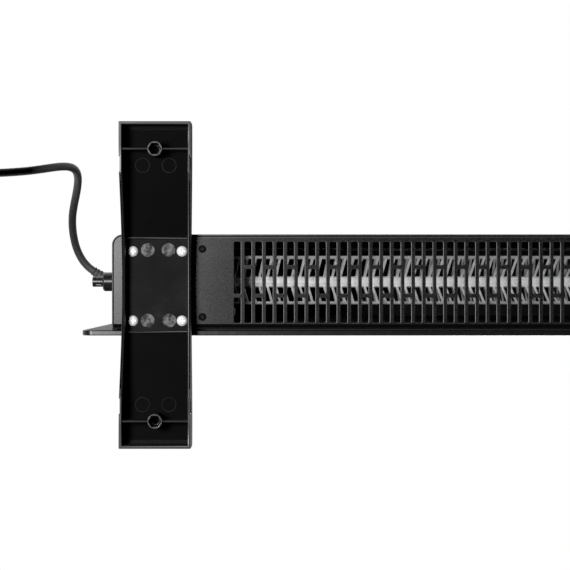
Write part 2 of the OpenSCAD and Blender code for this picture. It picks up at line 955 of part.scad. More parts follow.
module display_carrier() {
    wall = 2;
    color([0.1, 0.1, 0.1])
        translate([display_x, 0, display_z])
            difference() {
                span(
                    [-display_w / 2 - wall, front_in, -display_h / 2 - wall],
                    [display_w / 2 + wall, carrier_y, display_h / 2 + wall]
                );
                span(
                    [-display_w / 2, front_in - cut, -display_h / 2],
                    [display_w / 2, carrier_y + cut, display_h / 2]
                );
            }
}

module display_board() {
    color([0.05, 0.25, 0.1])
        translate([display_x, 0, display_z]) {
            span(
                [-display_w / 2 - 2, carrier_y, -display_h / 2 - 2],
                [display_w / 2 + 2, carrier_y + board_t, display_h / 2 + 2]
            );
            span([2 - display_w / 2, carrier_y - 5, -6], [0, carrier_y, 6]);
        }
}

module touch_pads() {
    color([0.3, 0.3, 0.32])
        for (k = [0 : 2])
            translate([display_x + 5 + 9 * k, carrier_y, display_z])
                rotate([90, 0, 0])
                    cylinder(d = 6, h = glass_back + carrier_y - fit, $fn = round_fn);
}

/* Mains switch, sensor and terminals */

terminal_x = half_w - 53;
terminal_z = 104;

module terminal_block() {
    color([0.9, 0.9, 0.85])
        translate([terminal_x, 0, terminal_z])
            difference() {
                span([-15, rear_in - 14, -9], [15, rear_in, 9]);
                for (x = [-9, 0, 9]) {
                    translate([x, rear_in - 7, -9 - cut])
                        cylinder(d = 4, h = 18 + 2 * cut, $fn = round_fn);
                    translate([x, rear_in - 14 - cut, 4])
                        rotate([-90, 0, 0])
                            cylinder(d = 4, h = 5, $fn = round_fn);
                }
            }
}

rocker_x = half_w - 3;
housing_x = half_w - 16;

module rocker_housing() {
    color([0.08, 0.08, 0.08])
        translate([0, rocker_y, rocker_z])
            difference() {
                union() {
                    span([housing_x, -bezel_w / 2, -bezel_l / 2], [half_w + 1, bezel_w / 2, bezel_l / 2]);
                    span([half_w, -bezel_w / 2 - 1.5, -bezel_l / 2 - 1.5], [half_w + 1.6, bezel_w / 2 + 1.5, bezel_l / 2 + 1.5]);
                }
                span(
                    [housing_x + 1.5, -rocker_open_w / 2, -rocker_open_l / 2],
                    [half_w + 2 + cut, rocker_open_w / 2, rocker_open_l / 2]
                );
                translate([rocker_x, 0, 0])
                    rotate([90, 0, 0])
                        cylinder(d = pivot_d + 2 * pivot_gap, h = bezel_w - 0.6, center = true, $fn = round_fn);
            }
}

// The rocker stands tilted, as it does when the heater is switched off
module rocker() {
    half = rocker_l / 2;
    crown = 4.6;
    rise = half * tan(rocker_tilt);
    color([0.12, 0.12, 0.12])
        translate([rocker_x, rocker_y, rocker_z])
            rotate([0, rocker_tilt, 0]) {
                rotate([90, 0, 0])
                    linear_extrude(rocker_w, center = true)
                        polygon([
                            [crown, 0], [crown + rise, half], [0.5, half], [-3.5, 3],
                            [-3.5, -3], [0.5, -half], [crown + rise, -half]
                        ]);
                rotate([90, 0, 0])
                    cylinder(d = pivot_d, h = bezel_w - 1, center = true, $fn = round_fn);
            }
}

module switch_tabs() {
    color([0.8, 0.7, 0.4])
        for (z = [-6, 0, 6])
            translate([housing_x, rocker_y, rocker_z + z])
                span([-8, -2.4, -0.4], [0, 2.4, 0.4]);
}

module sensor_collar() {
    color([0.05, 0.05, 0.05])
        translate([half_w, sensor_y, sensor_z])
            rotate([0, 90, 0])
                difference() {
                    union() {
                        cylinder(d = collar_d, h = collar_l - 1, $fn = 96);
                        translate([0, 0, collar_l - 1])
                            cylinder(d1 = collar_d, d2 = collar_d - 1.6, h = 1, $fn = 96);
                        translate([0, 0, -sheet_t - 4])
                            cylinder(d = sensor_stem, h = sheet_t + 4, $fn = round_fn);
                        translate([0, 0, -sheet_t - 2.5])
                            cylinder(d = sensor_stem + 4, h = 2.5, $fn = round_fn);
                    }
                    translate([0, 0, -sheet_t - 4 - cut])
                        cylinder(d = 2.6, h = collar_l + sheet_t + 4 + 2 * cut, $fn = round_fn);
                }
}

module sensor_cap() {
    color([0.05, 0.05, 0.05])
        translate([half_w + collar_l, sensor_y, sensor_z])
            rotate([0, 90, 0])
                difference() {
                    cylinder(d = cap_d, h = cap_l, $fn = 96);
                    translate([0, 0, -cut])
                        cylinder(d = cap_d - 2.4, h = cap_l - 1 + cut, $fn = round_fn);
                    for (a = [45, 135])
                        rotate([0, 0, a])
                            translate([-cap_d, -0.6, 1.5])
                                cube([2 * cap_d, 1.2, cap_l - 3.5]);
                }
}

/* Mains lead */

// Middle lines of the strain relief and the lead, by their distance beyond the casing's right side
function beyond(points) = [for (p = points) [half_w + p[0], p[1], p[2]]];

relief_route = beyond([
    [0, 3.5, 70], [4, 4, 70], [8, 5, 69.9], [12, 6.5, 69.7], [15.6, 8.5, 69.5], [19, 11, 69.2]
]);
cord_route = beyond([
    [19, 11, 69.2], [22.4, 13.5, 68.9], [26.4, 17.9, 68.3], [29.8, 23.6, 67.5], [32.3, 30.2, 66.4],
    [33.9, 38, 64.8], [34.5, 46, 62.8], [34, 54, 60.2], [32.4, 61.6, 56.9], [30.3, 69, 52.7],
    [28.4, 75.6, 47.3], [27.2, 81, 40.8], [27.2, 85, 33.5], [28.8, 87.4, 26], [32, 88.1, 18.9],
    [36.8, 87.6, 12.7], [43, 86.4, 8], [50.5, 85, 5.2], [59, 83.8, 3.8], [68, 83, 3.2], [78, 82.4, 3.1],
    [90, 82.1, 3.2], [102, 82, 3.5], [114, 82, 3.8], [122, 82, 3.8], [129, 82, 3.8]
]);
tail_route = beyond([
    [181.65, 31, 10.4], [181.65, 26, 10.4], [181.5, 18, 9], [181.1, 10, 6.6], [180.5, 2, 4.4], [179.8, -6, 3.3],
    [179.2, -14, 3.4], [179, -22.6, 4.95], [179, -29, 6.95]
]);

relief_start = 9;
relief_end = 7;

module strain_relief() {
    steps = len(relief_route) - 1;
    color([0.07, 0.07, 0.07]) {
        tube(
            relief_route,
            [for (i = [0 : steps]) (relief_start + (relief_end - relief_start) * i / steps) / 2],
            12
        );
        translate(cord_exit)
            rotate([0, 90, 0]) {
                translate([0, 0, -sheet_t])
                    cylinder(d = relief_neck, h = sheet_t + 1, $fn = round_fn);
                cylinder(d = relief_neck + 3.4, h = 1.8, $fn = round_fn);
                translate([0, 0, -sheet_t - 5])
                    cylinder(d = relief_neck + 3.4, h = 5, $fn = round_fn);
            }
    }
}

module mains_cord() {
    color([0.14, 0.14, 0.14])
        even_tube(cord_route, cord_d, 8);
}

// The coil winds inwards on the floor, climbs over half a turn and winds outwards on top
coil_x = half_w + 135;
coil_y = 37;
coil_z = 3.8;
coil_sides = 6;
coil_rings = 24;
coil_in = 3.5;
coil_out = 3.75;
coil_r0 = coil_r - coil_pitch * coil_in;
coil_steps = (coil_in + coil_out) * coil_rings;

function coil_climb(t) = let (s = min(1, max(0, 2 * t + 0.5))) s * s * (3 - 2 * s);

function coil_point(t) =
    let (r = coil_r0 + coil_pitch * abs(t), a = 90 - 360 * (t + coil_in))
    [coil_x + r * cos(a), coil_y + r * sin(a), coil_z + coil_pitch * coil_climb(t)];

coil_turns = [for (i = [0 : coil_steps]) coil_point(i / coil_rings - coil_in)];
coil_path = concat(
    [coil_turns[0] - [cord_d, 0, 0]],
    coil_turns,
    [coil_turns[len(coil_turns) - 1] - [0, cord_d, 0]]
);

coil_gaps = [
    for (i = [0 : len(coil_turns) - 1], j = [i + coil_rings / 2 : 1 : len(coil_turns) - 1])
        norm(coil_turns[i] - coil_turns[j]) - cord_d
];
echo(coil_least_gap_mm = min(coil_gaps));

function path_length(path) = len(path) < 2 ? 0 : sum([for (i = [1 : len(path) - 1]) norm(path[i] - path[i - 1])]);

function sum(list, i = 0, total = 0) = i == len(list) ? total : sum(list, i + 1, total + list[i]);

echo(cord_length_mm = path_length(relief_route) + path_length(cord_route) + path_length(coil_path) + path_length(tail_route));

module cord_coil() {
    color([0.14, 0.14, 0.14])
        even_tube(coil_path, cord_d, coil_sides);
}

module cord_tail() {
    color([0.14, 0.14, 0.14])
        even_tube(tail_route, cord_d, 8);
}

module cord_tie() {
    inner_r = coil_r0 - cord_d / 2 - 0.6;
    outer_r = coil_r0 + coil_pitch * coil_out + cord_d / 2 + 0.6;
    top = coil_z + coil_pitch + cord_d / 2 + 0.2;
    color([0.05, 0.05, 0.05])
        translate([coil_x, coil_y, 0])
            rotate([0, 0, 215])
                difference() {
                    span([inner_r - tie_t, -tie_w / 2, 0], [outer_r + tie_t, tie_w / 2, top + tie_t]);
                    span([inner_r, -tie_w / 2 - cut, tie_t], [outer_r, tie_w / 2 + cut, top]);
                }
}

// The plug lies on its rim and on the back of its grip
sleeve_l = 12;
sleeve_d = 8.4;
face_l = 10;
plug_lean = atan((plug_d - grip_d) / 2 / grip_l);

module plug_place() {
    translate(tail_route[len(tail_route) - 1])
        rotate([90 - plug_lean, 0, 0])
            children();
}

module mains_plug() {
    color([0.1, 0.1, 0.1])
        plug_place()
            rotate_extrude($fn = 96)
                polygon([
                    [0, 0], [sleeve_d / 2, 0], [sleeve_d / 2 + 1.2, sleeve_l], [grip_d / 2, sleeve_l],
                    [grip_d / 2 + 0.6, sleeve_l + 3], [grip_d / 2 + 2.6, sleeve_l + grip_l - 8],
                    [plug_d / 2 - 1.5, sleeve_l + grip_l - 1], [plug_d / 2, sleeve_l + grip_l],
                    [plug_d / 2, sleeve_l + grip_l + face_l - 1],
                    [plug_d / 2 - 1, sleeve_l + grip_l + face_l], [0, sleeve_l + grip_l + face_l]
                ]);
}

module plug_pins() {
    color([0.8, 0.8, 0.78])
        plug_place()
            for (x = [-pin_pitch / 2, pin_pitch / 2])
                translate([x, 0, sleeve_l + grip_l + face_l]) {
                    cylinder(d = pin_d, h = pin_l - pin_d / 2, $fn = round_fn);
                    translate([0, 0, pin_l - pin_d / 2])
                        sphere(d = pin_d, $fn = round_fn);
                }
}

/* Inner wiring */

wire_d = 2.4;

module lead_wires() {
    color([0.35, 0.25, 0.15])
        for (k = [-1, 0, 1])
            even_tube([
                [half_w - sheet_t - 5, cord_exit_y + 3 * k, cord_exit_z], [half_w - 14, cord_exit_y + 3 * k, cord_exit_z],
                [half_w - 24 + 3 * k, 10, cord_exit_z + 4], [half_w - 35 + 6 * k, 20, cord_exit_z + 8],
                [terminal_x + 9 * k, rear_in - 9, cord_exit_z + 15], [terminal_x + 9 * k, rear_in - 7, terminal_z - 12],
                [terminal_x + 9 * k, rear_in - 7, terminal_z - 3]
            ], wire_d, 6);
}

module control_wires() {
    color([0.2, 0.2, 0.25])
        for (k = [-1, 1])
            even_tube([
                [terminal_x + 9 * k, rear_in - 7, terminal_z + 3], [terminal_x + 9 * k, rear_in - 7, terminal_z + 14],
                [terminal_x + 8 + 7 * k, 24, rocker_z - 12 + 4 * k], [half_w - 40 + 2 * k, 12, rocker_z - 3 + 6 * k],
                [half_w - 32, rocker_y, rocker_z + 6 * k], [housing_x - 8, rocker_y, rocker_z + 6 * k]
            ], wire_d, 6);
}

module element_wires() {
    back = rear_in - wire_d / 2 - 2;
    high = body_z0 + duct_h + 8;
    pin_x = rod_half;
    color([0.75, 0.75, 0.7]) {
        even_tube([
            [cutout_x + 13, element_y + 4.5, cutout_z], [cutout_x + 16, element_y + 4.5, cutout_z],
            [cutout_x + 20, element_y + 4.5, cutout_z - 4], [cutout_x + 21, element_y + 3, cutout_z - 18],
            [pin_x + 9, element_y + 1, element_z + 8], [pin_x + 7, element_y, element_z + 2],
            [pin_x + 4, element_y, element_z], [pin_x, element_y, element_z]
        ], wire_d, 6);
        even_tube([
            [cutout_x + 13, element_y - 4.5, cutout_z], [cutout_x + 16, element_y - 4.5, cutout_z],
            [cutout_x + 20, element_y - 6, cutout_z + 5],
            [cutout_x + 24, -10, board_z0 - 24], [board_x - 26, -8, board_z0 + 4],
            [board_x - 22, -8, board_z0 + 22], [board_x - 16, -8, board_z0 + 22]
        ], wire_d, 6);
        even_tube([
            [-pin_x, element_y, element_z], [-pin_x - 4, element_y, element_z],
            [-pin_x - 8, element_y + 1, element_z + 4], [-pin_x - 9, 14, element_z + 30],
            [-pin_x - 2, back, element_z + 75], [-pin_x, back, high - 30], [-pin_x + 3, back, high - 12],
            [-pin_x + 10, back, high - 3], [-pin_x + 24, back, high], [0, back, high],
            [pin_x - 24, back, high], [pin_x - 8, back, high - 3], [pin_x + 14, 28, high - 40],
            [board_x - 26, 0, board_z1 - 8], [board_x - 16, -7, board_z1 - 15], [board_x - 10, -7, board_z1 - 15]
        ], wire_d, 6);
    }
}

glass_panel();
glass_tape();
front_panel();
rear_panel();
end_cap_right();
end_cap_left();
bottom_plate();
top_grille();
foot_right();
foot_left();
foot_screws(1);  // foot_screws_right
foot_screws(-1);  // foot_screws_left
foot_nuts();
bottom_plate_screws();
rear_screws();
partition_right();
partition_left();
baffle(slot_y0 - 1.5);  // baffle_front
baffle(slot_y1 + 1.3);  // baffle_rear
deflector_front();
deflector_rear();
element_profile();
element_rod();
element_insulators();
thermal_cutout();
thermal_fuse();
tip_switch_bracket();
tip_pendulum();
tip_microswitch();
control_board();
board_components();
board_standoffs();
display_carrier();
display_board();
touch_pads();
terminal_block();
rocker_housing();
rocker();
switch_tabs();
sensor_collar();
sensor_cap();
strain_relief();
lead_wires();
control_wires();
element_wires();
mains_cord();
cord_coil();
cord_tail();
cord_tie();
mains_plug();
plug_pins();
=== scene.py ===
# Dresses the convector heater: glass front, coated casing, moulded feet, louvred element, mains lead
import json
import math
import bmesh
import bpy
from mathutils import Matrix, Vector

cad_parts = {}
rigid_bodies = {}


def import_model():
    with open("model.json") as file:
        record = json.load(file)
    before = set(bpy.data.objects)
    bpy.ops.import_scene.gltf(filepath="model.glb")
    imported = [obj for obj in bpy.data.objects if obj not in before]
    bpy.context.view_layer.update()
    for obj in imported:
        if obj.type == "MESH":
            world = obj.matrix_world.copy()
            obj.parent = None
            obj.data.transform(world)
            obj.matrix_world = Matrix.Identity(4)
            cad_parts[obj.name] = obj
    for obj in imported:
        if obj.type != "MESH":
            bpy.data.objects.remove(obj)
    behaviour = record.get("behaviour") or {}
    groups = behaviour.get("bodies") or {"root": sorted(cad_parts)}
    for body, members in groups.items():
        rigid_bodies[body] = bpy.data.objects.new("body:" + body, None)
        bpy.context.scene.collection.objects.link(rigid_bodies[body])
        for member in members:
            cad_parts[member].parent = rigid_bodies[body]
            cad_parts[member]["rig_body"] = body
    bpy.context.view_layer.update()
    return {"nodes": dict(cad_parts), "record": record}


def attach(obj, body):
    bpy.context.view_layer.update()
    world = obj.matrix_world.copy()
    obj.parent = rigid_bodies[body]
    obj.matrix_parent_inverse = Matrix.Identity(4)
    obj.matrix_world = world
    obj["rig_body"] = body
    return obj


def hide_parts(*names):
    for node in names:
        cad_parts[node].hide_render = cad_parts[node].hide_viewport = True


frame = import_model()
nodes = frame["nodes"]
slotOf = {part["node"]: part["material_slot"] for part in frame["record"]["subparts"]}
mm = 0.001
scene = bpy.context.scene
scene.view_settings.view_transform = "Standard"

# Camera, straight up from under the right-hand foot
cameraSettings = {"place": (0.25, 0.0, -1.1), "turn": (0.0, math.pi, 0.0), "lens": 94.9, "sensor": 36.0,
                  "near": 0.02, "far": 60.0}

cameraData = bpy.data.cameras.new("underCamera")
cameraData.lens = cameraSettings["lens"]
cameraData.sensor_width = cameraSettings["sensor"]
cameraData.clip_start = cameraSettings["near"]
cameraData.clip_end = cameraSettings["far"]
camera = bpy.data.objects.new("underCamera", cameraData)
camera.location = cameraSettings["place"]
camera.rotation_euler = cameraSettings["turn"]
scene.collection.objects.link(camera)
scene.camera = camera


# Making pieces

def linkMesh(name, mesh, body, slotName, replaced=(), finish=None):
    piece = bpy.data.objects.new(name, mesh)
    scene.collection.objects.link(piece)
    mesh.materials.clear()
    mesh.materials.append(finish or finishes[slotName])
    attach(piece, body)
    if replaced:
        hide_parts(*replaced)
    return piece


def meshFrom(name, verts, faces, smooth=True):
    mesh = bpy.data.meshes.new(name)
    mesh.from_pydata([tuple(v) for v in verts], [], faces)
    mesh.validate()
    mesh.update()
    for face in mesh.polygons:
        face.use_smooth = smooth
    return mesh


def roundEdges(piece, width, steps, finishIndex):
    bevel = piece.modifiers.new("roundedEdges", "BEVEL")
    bevel.width = width
    bevel.segments = steps
    bevel.limit_method = "WEIGHT"
    bevel.use_clamp_overlap = False
    bevel.material = finishIndex
    evened = piece.modifiers.new("evenedNormals", "WEIGHTED_NORMAL")
    evened.keep_sharp = True


# How the CAD meshes are cleaned up: the gap in metres, the angles in degrees
cleanSettings = {"weld": 1e-6, "flat": 0.6, "sharp": 32}


def openNode(node, merge=True):
    # The node's mesh, welded, with its flat faces merged
    work = bmesh.new()
    work.from_mesh(node.data)
    bmesh.ops.remove_doubles(work, verts=work.verts, dist=cleanSettings["weld"])
    if merge:
        bmesh.ops.dissolve_limit(work, angle_limit=math.radians(cleanSettings["flat"]),
                                 verts=work.verts, edges=work.edges)
    return work


def closeWork(work, mesh):
    work.to_mesh(mesh)
    work.free()
    return mesh


def softenedCopy(nodeName, pieceName, width, steps=2, edgeFinish=None, extra=None, merge=True,
                 shortest=0, share=None):
    # The CAD shape again, with its edges rounded
    node = nodes[nodeName]
    work = openNode(node, merge)
    weights = work.edges.layers.float.new("bevel_weight_edge")
    for face in work.faces:
        face.smooth = True
        face.material_index = 0
    for edge in work.edges:
        if len(edge.link_faces) == 2:
            edge.smooth = edge.calc_face_angle(0) < math.radians(cleanSettings["sharp"])
            if edge.smooth or edge.calc_length() < shortest * mm:
                edge[weights] = 0.0
            else:
                edge[weights] = share(edge) if share else 1.0
    mesh = closeWork(work, bpy.data.meshes.new(pieceName))
    piece = linkMesh(pieceName, mesh, node["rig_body"], slotOf[nodeName], [nodeName])
    if edgeFinish:
        mesh.materials.append(edgeFinish)
    if extra:
        extra(mesh)
    roundEdges(piece, width * mm, steps, 1 if edgeFinish else -1)


def smoothLine(points, step):
    # A Catmull-Rom line through the points, in steps of about the given length
    pts = [Vector(p) for p in points]
    pts = [2 * pts[0] - pts[1]] + pts + [2 * pts[-1] - pts[-2]]
    line = []
    for i in range(1, len(pts) - 2):
        a, b, c, d = pts[i - 1:i + 3]
        count = max(1, round((c - b).length / step))
        for k in range(count):
            t = k / count
            line.append(0.5 * (2 * b + (c - a) * t + (2 * a - 5 * b + 4 * c - d) * t * t
                               + (3 * b - a - 3 * c + d) * t * t * t))
    return line + [pts[-2]]


def lineFrames(line):
    # Each point with its two sideways vectors, which turn as little as they can
    frames = []
    side = None
    for i, p in enumerate(line):
        along = (line[min(i + 1, len(line) - 1)] - line[max(i - 1, 0)]).normalized()
        if side is None:
            side = along.cross(Vector((0.1, 0.2, 1))).normalized()
        side = (side - along * side.dot(along)).normalized()
        frames.append((p, side, along.cross(side)))
    return frames


def joinRings(rings, faces):
    # Faces between each ring of corners and the next
    for low, high in zip(rings, rings[1:]):
        for j in range(len(low)):
            k = (j + 1) % len(low)
            face = []
            for v in (low[j], low[k], high[k], high[j]):
                if v not in face:
                    face.append(v)
            if len(face) > 2:
                faces.append(tuple(face))


def circle(side, other, sides):
    # Directions all around, from the circle's two axes
    angles = [2 * math.pi * j / sides for j in range(sides)]
    return [side * math.cos(a) + other * math.sin(a) for a in angles]


def barOfSections(sections, verts, faces, closed=False):
    # Sections joined into one bar, or into a loop
    rings = []
    for corners in sections:
        rings.append(list(range(len(verts), len(verts) + len(corners))))
        verts.extend(corners)
    joinRings(rings + rings[:1] if closed else rings, faces)
    if not closed:
        faces.append(tuple(reversed(rings[0])))
        faces.append(tuple(rings[-1]))


def tubeMesh(name, line, radii, sides):
    verts, faces = [], []
    sections = [[p + radius * out for out in circle(side, other, sides)]
                for radius, (p, side, other) in zip(radii, lineFrames(line))]
    barOfSections(sections, verts, faces)
    return meshFrom(name, verts, faces)


def turnedMesh(name, profile, place, axis, sides):
    # A profile of (distance along the axis, radius), turned around the axis from place
    axis = Vector(axis).normalized()
    side = axis.cross(Vector((0.3, 0.2, 1))).normalized()
    around = circle(side, axis.cross(side), sides)
    verts, faces, rings = [], [], []
    for along, radius in profile:
        middle = Vector(place) + axis * along
        if radius < 1e-7:  # the profile ends on the axis
            rings.append([len(verts)] * sides)
            verts.append(middle)
        else:
            rings.append(list(range(len(verts), len(verts) + sides)))
            verts += [middle + radius * out for out in around]
    joinRings(rings, faces)
    return meshFrom(name, verts, faces)


def weldMesh(mesh, gap):
    work = bmesh.new()
    work.from_mesh(mesh)
    bmesh.ops.remove_doubles(work, verts=work.verts, dist=gap)
    return closeWork(work, mesh)


def markCorners(mesh, angle):
    # Edges sharper than the angle stay crisp under smooth shading
    work = bmesh.new()
    work.from_mesh(mesh)
    bmesh.ops.recalc_face_normals(work, faces=work.faces)
    for edge in work.edges:
        if len(edge.link_faces) == 2:
            edge.smooth = edge.calc_face_angle(0) < math.radians(angle)
    return closeWork(work, mesh)


def addMesh(part, verts, faces):
    first = len(verts)
    verts += [v.co.copy() for v in part.vertices]
    faces += [tuple(first + v for v in face.vertices) for face in part.polygons]


def joinMeshes(name, parts, crisp):
    verts, faces = [], []
    for part in parts:
        addMesh(part, verts, faces)
    return markCorners(meshFrom(name, verts, faces), crisp)


# Shared shader groups

def newGroup(name, inputs, outputs):
    group = bpy.data.node_groups.new(name, "ShaderNodeTree")
    for label, value in inputs:
        socket = group.interface.new_socket(label, in_out="INPUT", socket_type="NodeSocketFloat")
        socket.default_value = value
    for label in outputs:
        group.interface.new_socket(label, in_out="OUTPUT", socket_type="NodeSocketFloat")
    return group, group.nodes.new("NodeGroupInput"), group.nodes.new("NodeGroupOutput")


def mathNode(tree, operation, first, second):
    node = tree.nodes.new("ShaderNodeMath")
    node.operation = operation
    for socket, value in zip(node.inputs, (first, second)):
        if isinstance(value, (int, float)):
            socket.default_value = value
        else:
            tree.links.new(value, socket)
    return node.outputs[0]


def setInputs(node, values):
    for label, value in values.items():
        node.inputs[label].default_value = value
    return node


def noiseNode(tree, place, scale, detail, roughness):
    node = setInputs(tree.nodes.new("ShaderNodeTexNoise"), {"Detail": detail, "Roughness": roughness})
    tree.links.new(place, node.inputs["Vector"])
    tree.links.new(scale, node.inputs["Scale"])
    return node.outputs[0]


def placeGroup(tree, group, values):
    node = tree.nodes.new("ShaderNodeGroup")
    node.node_tree = group
    return setInputs(node, values)


def mixColour(tree, factor, first, second):
    node = tree.nodes.new("ShaderNodeMix")
    node.data_type = "RGBA"
    for socket, value in zip((node.inputs[0], node.inputs[6], node.inputs[7]), (factor, first, second)):
        if isinstance(value, tuple):
            socket.default_value = (*value, 1.0)
        else:
            tree.links.new(value, socket)
    return node.outputs[2]


def spreadValue(tree, value, low, high, start=0.3, end=0.7):
    node = setInputs(tree.nodes.new("ShaderNodeMapRange"),
                     {"From Min": start, "From Max": end, "To Min": low, "To Max": high})
    tree.links.new(value, node.inputs["Value"])
    return node.outputs[0]


# Detail and roughness of the noises
grainSettings = {"Height": (2.0, 0.5), "Speckle": (3.0, 0.7), "Mottle": (4.0, 0.6), "speckleScale": 0.45}
dustSettings = {"patches": (5.0, 0.65), "specks": (2.0, 0.7), "speckScale": 40.0, "gather": (0.45, 0.8),
                "colour": (0.1, 0.1, 0.1)}


def makeGrainGroup():
    # Fine grain for the bump, speckle for the colour and broad mottling for the gloss
    group, given, result = newGroup("fineGrain", [("Scale", 900.0), ("Mottle Scale", 25.0)],
                                    ["Height", "Speckle", "Mottle"])
    place = group.nodes.new("ShaderNodeTexCoord").outputs["Object"]
    fine = given.outputs["Scale"]
    scales = {"Height": fine, "Speckle": mathNode(group, "MULTIPLY", fine, grainSettings["speckleScale"]),
              "Mottle": given.outputs["Mottle Scale"]}
    for label, scale in scales.items():
        group.links.new(noiseNode(group, place, scale, *grainSettings[label]), result.inputs[label])
    return group


def makeDustGroup():
    # Thin dust that gathers in patches
    d = dustSettings
    group, given, result = newGroup("thinDust", [("Scale", 18.0), ("Amount", 0.3)], ["Mask"])
    place = group.nodes.new("ShaderNodeTexCoord").outputs["Object"]
    scale = given.outputs["Scale"]
    patches = spreadValue(group, noiseNode(group, place, scale, *d["patches"]), 0.0, 1.0, *d["gather"])
    specks = noiseNode(group, place, mathNode(group, "MULTIPLY", scale, d["speckScale"]), *d["specks"])
    amount = mathNode(group, "MULTIPLY", patches, given.outputs["Amount"])
    group.links.new(mathNode(group, "MULTIPLY", amount, specks), result.inputs["Mask"])
    return group


grainGroup = makeGrainGroup()
dustGroup = makeDustGroup()


def makeFinish(name, colour, second, rough, grain=900.0, mottle=25.0, bump=0.4, depth=0.00004,
               metallic=0.0, specular=0.5, coat=0.0, coatRough=0.1, dust=0.0, contrast=(0.3, 0.7)):
    # The two colours mix in fine speckles; a single number is a grey
    colour, second = [c if isinstance(c, tuple) else (c, c, c) for c in (colour, second)]
    finish = bpy.data.materials.new(name)
    finish.use_nodes = True
    tree = finish.node_tree
    shader = setInputs(tree.nodes["Principled BSDF"], {
        "Metallic": metallic, "Specular IOR Level": specular, "Coat Weight": coat,
        "Coat Roughness": coatRough})
    grained = placeGroup(tree, grainGroup, {"Scale": grain, "Mottle Scale": mottle})
    speckle = spreadValue(tree, grained.outputs["Speckle"], 0.0, 1.0, *contrast)
    colourOut = mixColour(tree, speckle, colour, second)
    if dust:
        dusty = placeGroup(tree, dustGroup, {"Amount": dust})
        colourOut = mixColour(tree, dusty.outputs["Mask"], colourOut, dustSettings["colour"])
    tree.links.new(colourOut, shader.inputs["Base Color"])
    tree.links.new(spreadValue(tree, grained.outputs["Mottle"], *rough), shader.inputs["Roughness"])
    if bump:
        raised = setInputs(tree.nodes.new("ShaderNodeBump"), {"Strength": bump, "Distance": depth})
        tree.links.new(grained.outputs["Height"], raised.inputs["Height"])
        tree.links.new(raised.outputs["Normal"], shader.inputs["Normal"])
    return finish


